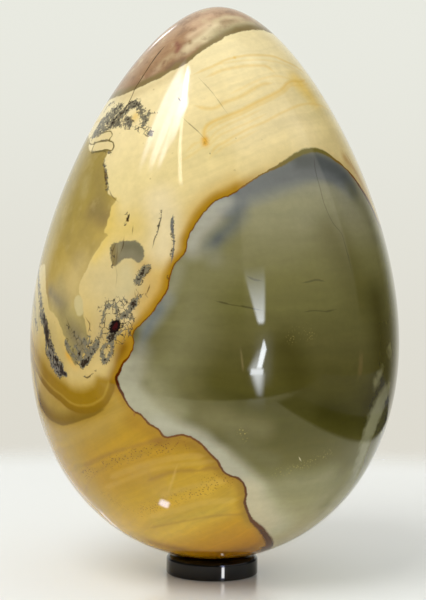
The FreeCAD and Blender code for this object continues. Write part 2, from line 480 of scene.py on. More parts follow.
def smoothPath(spots, closed=False, step=0.35):
    # cubic pieces through the spots, with slopes taken over the chords, sampled every step mm
    spots = np.array(spots, float)
    if closed:
        spots = np.vstack([spots[-3:], spots, spots[:4]])
    chord = np.linalg.norm(np.diff(onEgg(*spots.T), axis=0), axis=1)
    at = np.concatenate([[0], np.cumsum(np.maximum(chord, 0.05))])
    slope = np.gradient(spots, at, axis=0)
    start, end = (at[3], at[-4]) if closed else (at[0], at[-1])
    fine = np.linspace(start, end, max(int((end - start) / step), 3) + 1)
    i = np.clip(np.searchsorted(at, fine, "right") - 1, 0, len(at) - 2)
    span = at[i + 1] - at[i]
    t = ((fine - at[i]) / span)[:, None]
    span = span[:, None]
    return ((2 * t**3 - 3 * t**2 + 1) * spots[i] + (t**3 - 2 * t**2 + t) * span * slope[i]
            + (3 * t**2 - 2 * t**3) * spots[i + 1] + (t**3 - t**2) * span * slope[i + 1])


def measure(path, reach, closed=False):
    # The nearest sample's tangent splits each vertex's offset into along and across. Gives the vertices
    # within reach, mm to the left, distance, mm along the path, and the path's length.
    track = onEgg(*path.T)
    if closed:
        ahead = np.roll(track, -1, 0) - np.roll(track, 1, 0)
    else:
        ahead = np.gradient(track, axis=0)
    ahead /= np.linalg.norm(ahead, axis=1)[:, None] + 1e-12
    run = np.concatenate([[0], np.cumsum(np.linalg.norm(np.diff(track, axis=0), axis=1))])
    close = (vertexPoints > track.min(0) - reach) & (vertexPoints < track.max(0) + reach)
    picked = np.nonzero(close.all(1))[0]
    best = np.empty(len(picked), int)
    for start in range(0, len(picked), vertexBlock):
        part = slice(start, start + vertexBlock)
        best[part] = ((track**2).sum(1) - 2 * vertexPoints[picked[part]] @ track.T).argmin(1)
    off = vertexPoints[picked] - track[best]
    along = (off * ahead[best]).sum(1)
    aside = np.linalg.norm(off - along[:, None] * ahead[best], axis=1)
    leftward = np.cross(vertexNormals[picked], ahead[best])
    sign = np.where((off * leftward).sum(1) >= 0, 1.0, -1.0)
    place = run[best] + along
    past = np.zeros(len(picked)) if closed else np.maximum(np.maximum(-place, place - run[-1]), 0)
    return picked, sign * aside, np.hypot(aside, past), place, run[-1]


def enclosed(path, picked):
    # a vertex is inside when a line of constant side crosses the loop an odd number of times before it
    inside = np.zeros(len(picked), bool)
    (x1, y1), (x2, y2) = path.T, np.roll(path, -1, 0).T
    for turn in (-360, 0, 360):
        for start in range(0, len(picked), vertexBlock):
            part = slice(start, start + vertexBlock)
            lon = vertexLon[picked[part], None] + turn
            side = vertexSide[picked[part], None]
            crossing = (side > y1) != (side > y2)
            meets = x1 + (side - y1) * (x2 - x1) / np.where(y2 == y1, 1e-9, y2 - y1)
            inside[part] |= ((crossing & (lon < meets)).sum(1) % 2).astype(bool)
    return inside


def patchField(*loops, reach=12.0):
    # mm inside the nearest loop, negative outside
    field = np.full(vertexCount, -reach)
    for loop in loops:
        path = smoothPath(loop, closed=True)
        picked, _, distance, _, _ = measure(path, reach, closed=True)
        signed = np.where(enclosed(path, picked), 1, -1) * np.minimum(distance, reach)
        field[picked] = np.maximum(field[picked], signed)
    return field


def ribbonField(name, reach=8.0):
    # half the ribbon's width less the distance from its middle; the width runs through the given values
    field = np.full(vertexCount, -reach)
    for pixels, widths in jasperPattern["ribbons"][name]:
        picked, _, distance, place, total = measure(smoothPath(seen(pixels)), reach)
        half = np.interp(place / total, np.linspace(0, 1, len(widths)), widths) / 2
        field[picked] = np.maximum(field[picked], np.maximum(half - distance, -reach))
    return field


fieldNames = []


def saveField(name, *columns):  # up to four columns of values, kept on the egg's vertices
    values = np.zeros((vertexCount, 4), np.float32)
    values[:, :len(columns)] = np.stack(columns, -1)
    layer = egg.data.color_attributes.new(name, "FLOAT_COLOR", "POINT")
    layer.data.foreach_set("color", values.ravel())
    fieldNames.append(name)


# The stone's pattern. Paths are photo pixels, or under "hidden" longitude and side pairs, where the photo
# can't see. Widths, radii and softness are mm.
jasperPattern = {
    "tilt": (-0.47, 0.20, 1.0),  # square to the layers, which rise to the right by 27 degrees
    "outlines": {
        "domeSeen": [(388, 245), (385, 235), (378, 222), (371, 206), (364.4, 194), (356.8, 182),
            (349.3, 172.3), (342.7, 165.8), (334, 159.2), (324.3, 152.7), (314.6, 150), (303.7, 151.7),
            (292.9, 157), (282, 164.1), (271.2, 169.5), (259.3, 175.5), (249.5, 182), (240.8, 188.5),
            (230, 195), (215, 201), (205, 211), (195, 225), (187, 240), (186, 250), (174, 265), (169, 281),
            (167, 290), (159, 302), (151, 314), (141, 324), (133.5, 332), (133.5, 344), (130, 355),
            (122, 365), (119.5, 371.5), (116.4, 378.4), (118.7, 386.8), (123.3, 396), (130, 407.4),
            (134, 411.3), (141, 415), (149, 424), (158, 429), (165, 437), (174, 436), (182, 435),
            (192, 438), (200, 443), (210, 454), (219, 463), (223, 471), (231, 476), (238, 478), (244, 485),
            (246, 494), (245, 503), (247, 510), (252, 520.5), (260, 528), (266, 536), (269, 541),
            (266, 550)],
        "domeHidden": [(38, 21), (52, 15.5), (80, 13.5), (112, 15), (136, 22), (149, 37), (147, 54),
            (131, 74), (111, 92), (94, 100)],
        "oliveSeen": [(91.4, 152.4), (108, 150.5), (104, 162), (106.7, 176), (107.4, 180), (108, 191),
            (108.6, 193), (116.3, 201), (111.8, 205.5), (110.6, 212), (108, 219.5), (106.7, 224.6),
            (104.2, 231), (108, 234.8), (104.2, 238.7), (99, 246.3), (92.7, 256.5), (88.9, 264.2),
            (83.8, 274.4), (80.6, 282), (78.7, 291), (81.2, 298.6), (82.5, 307.6), (83.8, 315.2),
            (86.3, 326.7), (88, 336), (86, 348), (81, 358), (76, 366), (71, 358), (66.5, 350), (66, 341),
            (62, 330.5), (58, 320), (53, 313), (50.2, 311), (47.4, 297), (46, 289.7), (45.5, 277),
            (45, 266)],
        "oliveHidden": [(-82, 94), (-98, 92), (-112, 99), (-116, 110), (-106, 121), (-92, 127), (-78, 127)],
        "mushroom": [(110.6, 246.3), (113, 243), (118.2, 242.5), (122, 240.6), (128.4, 241), (134.8, 240.6),
            (139.9, 243.8), (143, 247.6), (144.4, 254), (141.8, 261), (138.6, 263), (134.8, 260.4),
            (131, 258.4), (125.9, 258.4), (120.8, 261), (117, 264.8), (114.4, 266.7), (111.8, 263),
            (110.6, 256.5)],
        "chipUpper": [(89.5, 139), (96.5, 135), (104, 133), (110.6, 132), (112, 135), (108, 140),
            (100, 141), (92.7, 144)],
        "chipLower": [(95, 144), (102, 142), (109, 141.6), (113, 143.5), (112.5, 149.5), (107, 149),
            (99, 150.5), (92, 151)],
        "maroonSpot": [(112, 322), (115, 319.5), (119, 320.5), (120.5, 325), (119.5, 330), (115, 333),
            (111, 333.5), (109.5, 330), (110.5, 326)],
        "creamLens": [(75, 298), (79, 295.5), (82, 299), (83, 307), (82.5, 315), (79, 316), (75, 309)],
    },
    # a spot on the dome's line, its width there, its darkness, and how strong the gold beside it is; then
    # those values at its close, and some mm past its last spot, with these mm first
    "domeLine": [
        ((388, 245), 1.2, 0.95, 0.1), ((376, 217), 2.2, 0.95, 0.2), ((364, 194), 1.5, 0.92, 0.3),
        ((345, 167), 0.4, 0.55, 0.3), ((325, 153), 1.5, 0.15, 0.05), ((303, 152), 1.8, 0.12, 0.0),
        ((286, 161), 1.2, 0.2, 0.05), ((266, 172), 0.3, 0.35, 0.3), ((240, 188), 0.28, 0.55, 0.9),
        ((205, 211), 0.24, 0.5, 1.0), ((186, 245), 0.26, 0.55, 1.0), ((168, 285), 0.3, 0.65, 1.0),
        ((141, 324), 0.2, 0.6, 0.9), ((131, 353), 0.2, 0.7, 1.0), ((119, 371), 0.9, 0.9, 1.0),
        ((117, 382), 1.2, 0.97, 1.0), ((121, 393), 0.7, 0.9, 0.8), ((130, 407), 0.5, 0.8, 0.5),
        ((165, 437), 0.5, 0.75, 0.7), ((200, 443), 0.5, 0.75, 0.85), ((244, 485), 0.6, 0.85, 0.85),
        ((250, 515), 0.9, 0.85, 0.8), ((258, 528), 2.1, 0.88, 0.8), ((266, 540), 2.6, 0.9, 0.8),
        ((266, 549), 2.2, 0.9, 0.7),
    ],
    "domeLineEnds": ((0.55, 0.85, 0.25), (30, 0.6, 0.8, 0.4)),
    # the cap's edge, and out of sight its mean side, half its swing, and the longitude where it is highest
    "capEdge": [(111.8, 98.9), (122, 95), (134.8, 90), (146.3, 84.2), (160.3, 77.8), (170.5, 71.4),
        (184.5, 65), (198.6, 53.6), (208.8, 46.6), (225.5, 37), (238.3, 31.9), (251, 30), (263.8, 30.4),
        (271.4, 33.2)],
    "capCut": (146.5, 12.7, 60),
    # banded shells: their outer edges, in sight and hidden, and over how many mm they fade in
    "shells": {
        "gold": (
            [(30.5, 352), (35, 368), (41.5, 382), (50, 393), (60, 401.5), (69.7, 409.7), (81.2, 413.6),
             (92.7, 412.8), (100.3, 409.2), (107.2, 404.4), (111.5, 396.7), (114.5, 389), (116, 381)],
            [(-172, 74), (-155, 80), (-135, 84), (-115, 83), (-96, 78.5)],
            45,
        ),
        "rim": (
            [(33.5, 372), (36.5, 392), (40.5, 406), (47, 416.6), (54.5, 422.7), (63, 425.4), (71, 424.3),
             (80, 421.2), (89, 418), (98, 414), (106, 408)],
            [(-165, 66), (-150, 72), (-132, 76.5), (-112, 76.5), (-95, 72.5)],
            40,
        ),
    },
    "ribbons": {  # a path and the widths along it
        "brownPatch": [
            ([(142, 278), (146, 273), (149, 268.5)], (0.7, 1.2, 1.2)),
            ([(104, 164), (106, 176), (107, 190)], (0.7, 1.1, 0.5)),
            ([(168, 275), (170, 281)], (0.8, 0.9)),
            ([(127, 220.8), (129, 214.4)], (1.0, 0.5)),
            ([(109.5, 152), (111.5, 154.5)], (0.9, 0.6)),
            ([(205.5, 140), (205, 143.5)], (0.4, 0.5)),
        ],
        "paleVein": [
            ([(389, 348), (391, 356)], (1.5, 1.2)),
            ([(382, 370), (376, 382)], (1.2, 2.4)),
            ([(388, 388), (384, 396), (380, 406), (375, 417), (370, 430)], (3.0, 5.2, 6.4, 6.4, 6.0)),
            ([(370, 430), (366, 442), (362, 455), (357, 467), (353, 482)], (6.0, 4.6, 4.2, 2.6, 1.0)),
        ],
    },
    # smoky mineral growths: path, radius, softness, and how dense they are
    "growths": {
        "seen": [
            ([(96, 132), (103, 122), (111, 114), (118, 109)], 2.2, 0.9, 0.84),
            ([(100, 131), (110, 124), (121, 121), (129, 123)], 1.8, 0.9, 0.8),
            ([(115, 120), (124, 112), (130, 106), (136, 104)], 1.5, 0.7, 0.88),
            ([(135, 105), (141, 110), (148, 113.5)], 1.0, 0.7, 0.8),
            ([(147, 113), (154, 112.5), (159, 111.6)], 0.3, 0.5, 0.74),
            ([(142, 112), (144, 119), (145, 127.6), (150, 133)], 1.2, 0.9, 0.74),
            ([(104, 112), (108, 106), (114, 103)], 0.7, 0.8, 0.72),
            ([(126, 128), (134, 127), (140, 130)], 0.7, 0.8, 0.68),
            ([(37, 262), (38.5, 280), (39.8, 296), (42, 314)], 1.3, 0.9, 0.8),
            ([(34, 286), (34.5, 306), (37, 330)], 1.2, 1.2, 0.66),
            ([(42, 300), (43, 312)], 0.9, 0.9, 0.74),
            ([(41.5, 313), (44.5, 324), (47.3, 334), (49, 346)], 1.7, 0.7, 0.9),
            ([(43.5, 318), (45.8, 328), (47.6, 338)], 0.8, 0.4, 1.14),
            ([(49, 346), (51, 354), (54.5, 362), (59, 368)], 2.3, 0.8, 0.92),
            ([(49, 350), (51.5, 358), (56, 366)], 0.3, 0.5, 0.98),
            ([(58, 367), (62, 371.5), (66, 375)], 0.8, 0.6, 1.1),
            ([(66, 342), (70, 350), (74, 356), (79, 363)], 0.9, 0.7, 0.84),
            ([(76, 346), (79, 354), (81.5, 364)], 0.8, 0.7, 0.9),
            ([(79, 352), (80.5, 359), (82, 366)], 0.5, 0.5, 1.06),
            ([(84, 340), (87, 350), (84, 359)], 0.9, 0.8, 0.78),
            ([(97, 342), (93, 350), (89, 357), (82.5, 365)], 1.1, 0.7, 0.94),
            ([(89, 330), (89.5, 340), (92, 349)], 0.6, 0.6, 0.8),
            ([(68, 328), (77, 338), (84, 348)], 1.4, 1.4, 0.54),
            ([(110, 338), (114, 331), (113, 325)], 1.3, 0.8, 0.98),
            ([(117.5, 320), (117, 313), (116, 306)], 0.7, 0.7, 0.84),
            ([(119, 321), (124, 315), (129, 309), (135, 303)], 1.1, 1.0, 0.84),
            ([(131, 304), (135, 301)], 0.8, 0.7, 0.94),
            ([(115, 301), (108, 306), (104, 314), (102.5, 325), (101, 338)], 0.9, 0.9, 0.76),
            ([(105, 346), (102.5, 353), (104, 361), (109, 358), (111.5, 350), (111.5, 340)], 0.9, 0.8, 0.8),
            ([(104, 310), (118, 304), (128, 318), (118, 336), (106, 330)], 2.4, 2.0, 0.56),
            ([(138, 281), (142, 274), (147, 267)], 1.2, 0.8, 0.9),
            ([(136, 292), (140, 297), (147, 296)], 0.7, 0.9, 0.62),
            ([(173, 217), (172, 227), (173.7, 240), (172, 256)], 0.5, 0.6, 0.74),
            ([(161, 210), (159, 224), (156, 236)], 0.4, 0.5, 0.74),
            ([(112, 268), (114, 258), (111, 248)], 0.4, 0.6, 0.66),
            ([(104, 160), (106.5, 176), (107.5, 190)], 0.5, 0.6, 0.8),
            ([(92, 152), (100, 151), (108, 152), (111, 154)], 0.4, 0.5, 0.76),
            ([(94, 142.5), (102, 140.8), (110, 140)], 0.35, 0.5, 0.76),
            ([(84, 376), (88, 378), (92, 374), (97, 370)], 0.3, 0.5, 0.76),
            ([(126, 214), (125, 224)], 0.5, 0.6, 0.72),
        ],
        "hidden": [
            ([(-150, 72), (-148, 85), (-140, 96)], 0.9, 0.9, 0.76),
            ([(-158, 92), (-166, 104)], 0.7, 0.9, 0.66),
            ([(-128, 104), (-118, 98)], 1.2, 1.2, 0.62),
            ([(176, 104), (182, 112)], 0.7, 0.8, 0.66),
        ],
    },
    "tones": {  # of the lines: a place on their colour ramp, and the colour there
        "black": (0.04, "#1d1712"),
        "umber": (0.2, "#4a3518"),
        "rust": (0.36, "#94661e"),
        "amber": (0.52, "#dfb95c"),
        "olive": (0.68, "#6a5f34"),
        "slate": (0.84, "#5d5f60"),
        "cream": (0.97, "#efe3b8"),
    },
    # soft lines of the flow, then crisp veins and a painted reflection of a panel's edge: path, width,
    # tone, strength, and the share broken away if any
    "flow": {
        "seen": [
            ([(197, 73), (205, 69.5), (212.8, 66.3), (225.5, 60), (234.4, 57.5), (246, 55.5), (262, 55.2),
             (275, 56.8), (285, 61.1), (295, 66), (303.7, 72.5)], 0.5, "amber", 0.55),
            ([(207.7, 76.5), (220.4, 70.8), (234.4, 67.6), (257, 65.5), (268, 67), (273.4, 71.4)],
             0.7, "amber", 0.42),
            ([(233, 58), (236, 57)], 0.8, "amber", 0.8),
            ([(241, 62), (255, 61.3), (268, 61.7)], 0.7, "cream", 0.5),
            ([(218, 64), (236, 61.5), (262, 60), (284, 64), (298, 71)], 0.3, "amber", 0.3),
            ([(196, 106), (204, 108), (212.8, 108.4), (225.5, 102), (240.8, 96.4), (251.7, 89.9),
             (262.5, 84.4), (271.4, 83)], 0.8, "amber", 0.45),
            ([(234, 92), (250, 84), (264, 78), (278, 76), (290, 79)], 0.4, "amber", 0.3),
            ([(204.3, 137.8), (203.8, 134), (206.4, 126.3), (212.8, 121.8), (225.5, 116.7), (240.8, 110.5),
             (251.7, 105), (262.5, 99.6), (273.4, 94.2), (282, 89.3), (287.5, 83.4), (292.9, 81.2),
             (299.4, 81.7), (305, 79.7)], 0.8, "amber", 0.68),
            ([(208, 131), (214, 126), (226, 120.5), (241, 114.2), (252, 108.5), (263, 103.2), (274, 97.8),
             (284, 92), (291, 85.5), (300, 85.5), (308, 83.5)], 0.4, "amber", 0.5),
            ([(211.5, 154.3), (214, 149.2), (225.5, 141.6), (238.3, 134), (251, 127.5), (263.8, 122.4),
             (276.5, 115.4), (289.5, 109.2), (300, 105), (308, 103.7), (316.7, 104.5), (324.3, 107.2),
             (329.7, 111.5)], 0.4, "amber", 0.5),
            ([(209, 141.6), (215.3, 132.7), (228, 125), (243, 118), (258, 111)], 0.3, "amber", 0.35),
            ([(209.5, 146), (217, 137.5), (230, 130.5), (246, 123.5), (262, 116)], 0.3, "amber", 0.35),
            ([(215, 154), (224, 147), (238, 140), (254, 132)], 0.35, "amber", 0.3),
            ([(188, 150), (194, 144), (200, 142)], 0.5, "amber", 0.35),
            ([(183, 160), (196, 152), (204, 145)], 0.4, "amber", 0.3),
            ([(128, 448), (140, 445), (150, 442), (165, 438)], 1.0, "rust", 0.5),
            ([(83.5, 466.4), (92.7, 461), (104.2, 456.4), (115.6, 451.8), (128, 448)], 0.9, "rust", 0.45),
            ([(147.6, 481), (160, 476), (173, 472), (186, 470.5), (198.6, 470.8)], 0.9, "rust", 0.5),
            ([(198.6, 470.8), (210, 468), (222, 468.5)], 1.0, "rust", 0.55),
            ([(105, 488), (125, 480), (150, 470), (180, 465), (215, 461)], 1.2, "amber", 0.2),
            ([(110, 478), (135, 468), (160, 461), (185, 457), (205, 456)], 1.6, "amber", 0.22),
            ([(160, 496), (180, 490), (205, 484), (228, 481)], 1.5, "amber", 0.2),
            ([(150, 517), (178, 510), (210, 502), (238, 500)], 1.8, "amber", 0.25),
            ([(150, 528), (180, 522), (214, 516), (243, 514)], 0.7, "rust", 0.35),
            ([(176, 469), (172.5, 480), (168.6, 491)], 0.35, "amber", 0.6),
            ([(77, 487), (78.5, 478), (84, 470), (92, 464)], 0.4, "rust", 0.3),
            ([(86, 494), (88, 484), (95, 474), (106, 467)], 0.4, "rust", 0.3),
            ([(257, 178), (272, 171.5), (287, 163)], 0.4, "olive", 0.25),
            ([(240, 279), (258, 281), (276, 284), (300, 281), (322, 279.5)], 0.4, "slate", 0.3),
            ([(265, 293), (285, 288), (310, 286)], 0.5, "slate", 0.25),
            ([(236, 303), (252, 308), (262, 311)], 0.3, "slate", 0.35),
            ([(290, 311), (312, 311.5), (332, 310)], 0.4, "slate", 0.3),
            ([(205, 283), (228, 281), (244, 284)], 0.4, "cream", 0.14),
        ],
        "hidden": [
            ([(-70, 132), (-95, 129), (-120, 124), (-150, 119), (-180, 117)], 0.7, "amber", 0.6),
            ([(75, 139), (100, 137.5), (130, 131), (160, 124), (185, 119)], 0.7, "amber", 0.7),
            ([(80, 131), (105, 129), (135, 121), (165, 113), (200, 108), (225, 109)], 0.6, "amber", 0.6),
            ([(85, 124), (110, 120), (140, 112), (170, 103), (205, 98)], 0.5, "amber", 0.45),
            ([(150, 92), (165, 88), (185, 84), (205, 84)], 0.8, "amber", 0.5),
            ([(170, 40), (190, 42), (212, 46), (235, 50)], 0.9, "rust", 0.5),
            ([(165, 26), (200, 27), (235, 31), (262, 36)], 0.8, "rust", 0.4),
            ([(160, 52), (185, 54), (215, 58), (240, 62)], 1.6, "amber", 0.25),
            ([(175, 18), (210, 19), (250, 24)], 0.8, "rust", 0.4),
        ],
    },
    "veinsAndReflectedEdge": {
        "seen": [
            ([(165.4, 45.3), (155.2, 57.4), (147.6, 68.9), (141.2, 79), (135.4, 88), (131, 98.2),
             (127, 105.9), (120.8, 114.8), (115.7, 121.2)], 0.34, "umber", 0.95, 0.3),
            ([(164, 47), (157, 55.5), (150, 65)], 0.4, "black", 0.7, 0.3),
            ([(345, 152), (348, 157), (354.7, 170), (362, 185)], 0.3, "rust", 0.5, 0.1),
            ([(205, 139), (198.6, 132), (192, 126), (185.8, 120.5)], 0.18, "umber", 0.7, 0.75),
            ([(202.4, 81.6), (208, 87.4), (216.6, 98.2), (224.2, 109)], 0.14, "umber", 0.5, 0.8),
            ([(178, 97.5), (181, 101.5)], 0.45, "slate", 0.9, 0.0),
            ([(209.5, 153), (210.5, 154.6)], 0.5, "black", 0.8, 0.0),
            ([(161.6, 217), (159, 224.6), (157.8, 232.3)], 0.45, "black", 0.9, 0.3),
            ([(157.8, 232.3), (155.2, 237.4), (152.7, 246.3)], 0.35, "black", 0.9, 0.35),
            ([(173, 215), (171.8, 227.2), (173.7, 234.8)], 0.7, "slate", 0.9, 0.3),
            ([(173.7, 234.8), (173.7, 243.8), (172.4, 256.5), (171, 263)], 0.4, "slate", 0.85, 0.35),
            ([(129.5, 213.5), (127, 220.8)], 0.6, "black", 0.85, 0.2),
            ([(133, 226), (132, 234)], 0.25, "umber", 0.6, 0.3),
            ([(150, 284.6), (148.8, 288.4), (146.3, 294.8)], 0.35, "umber", 0.8, 0.3),
            ([(134.8, 292), (136, 300)], 0.3, "umber", 0.6, 0.4),
            ([(114.4, 302.4), (111.8, 305), (108, 307.6)], 0.4, "slate", 0.9, 0.4),
            ([(124, 238), (123, 246), (121, 252)], 0.22, "umber", 0.9, 0.2),
            ([(116, 243), (113, 250), (111.5, 258)], 0.22, "umber", 0.8, 0.3),
            ([(117.5, 247), (117, 256), (116, 264)], 0.18, "umber", 0.6, 0.3),
            ([(116, 268), (117, 276), (116, 284)], 0.15, "umber", 0.5, 0.5),
            ([(35, 292), (35.5, 305), (36, 318)], 0.25, "slate", 0.7, 0.4),
            ([(38, 300), (38.5, 315), (40, 328)], 0.25, "slate", 0.7, 0.4),
            ([(32.5, 300), (33, 320), (35, 336)], 0.2, "slate", 0.5, 0.4),
            ([(83.5, 376), (87.3, 377.6), (92, 374)], 0.4, "umber", 0.85, 0.3),
            ([(134, 411), (134.5, 414), (134, 417)], 0.55, "rust", 0.95, 0.0),
            ([(93, 143.8), (100, 141.6), (108, 140.6)], 0.5, "olive", 0.9, 0.2),
            ([(92, 152.6), (99, 151.4), (107, 150.8)], 0.5, "olive", 0.9, 0.2),
            ([(112.5, 143), (114, 147), (112, 151.5)], 0.3, "umber", 0.7, 0.2),
            ([(109, 190), (112, 196), (117, 201)], 0.25, "umber", 0.7, 0.2),
            ([(83, 471), (83.5, 474)], 0.5, "umber", 0.8, 0.0),
            ([(247, 276), (254, 279.5), (262, 281)], 0.5, "black", 0.45, 0.1),
            ([(302, 283), (309, 281.5), (318, 280), (325, 281.5)], 0.45, "black", 0.4, 0.3),
            ([(216, 301), (230, 304.5), (246, 307), (262, 310.5)], 0.35, "black", 0.5, 0.5),
            ([(304, 312), (316, 310.5), (326, 311.5), (336, 309.5)], 0.4, "black", 0.4, 0.4),
            # painted reflection: a thin dark line where the edge of a wall panel shows in the polish
            ([(314, 158), (315.5, 171), (319, 184), (325, 206), (333, 223), (341, 233), (347, 252),
             (352, 272)], 0.22, "black", 0.5, 0.35),
            ([(299, 457), (301, 461)], 0.25, "cream", 0.8, 0.0),
            ([(66, 318), (72, 331), (80, 347)], 0.22, "umber", 0.4, 0.5),
            ([(86, 318), (90, 326), (88, 332)], 0.25, "umber", 0.8, 0.3),
            ([(120, 121), (131, 119), (135, 123)], 0.3, "umber", 0.5, 0.4),
        ],
        "hidden": [
            ([(-160, 60), (-150, 72), (-148, 85), (-138, 98), (-140, 110)], 0.45, "umber", 0.8, 0.25),
            ([(-138, 98), (-128, 104), (-121, 112)], 0.35, "black", 0.8, 0.3),
            ([(-148, 85), (-158, 92), (-166, 104)], 0.3, "umber", 0.7, 0.4),
            ([(172, 96), (178, 108), (186, 115)], 0.3, "slate", 0.8, 0.3),
            ([(92, 78), (104, 70), (112, 60), (124, 56)], 0.4, "umber", 0.5, 0.4),
        ],
    },
}
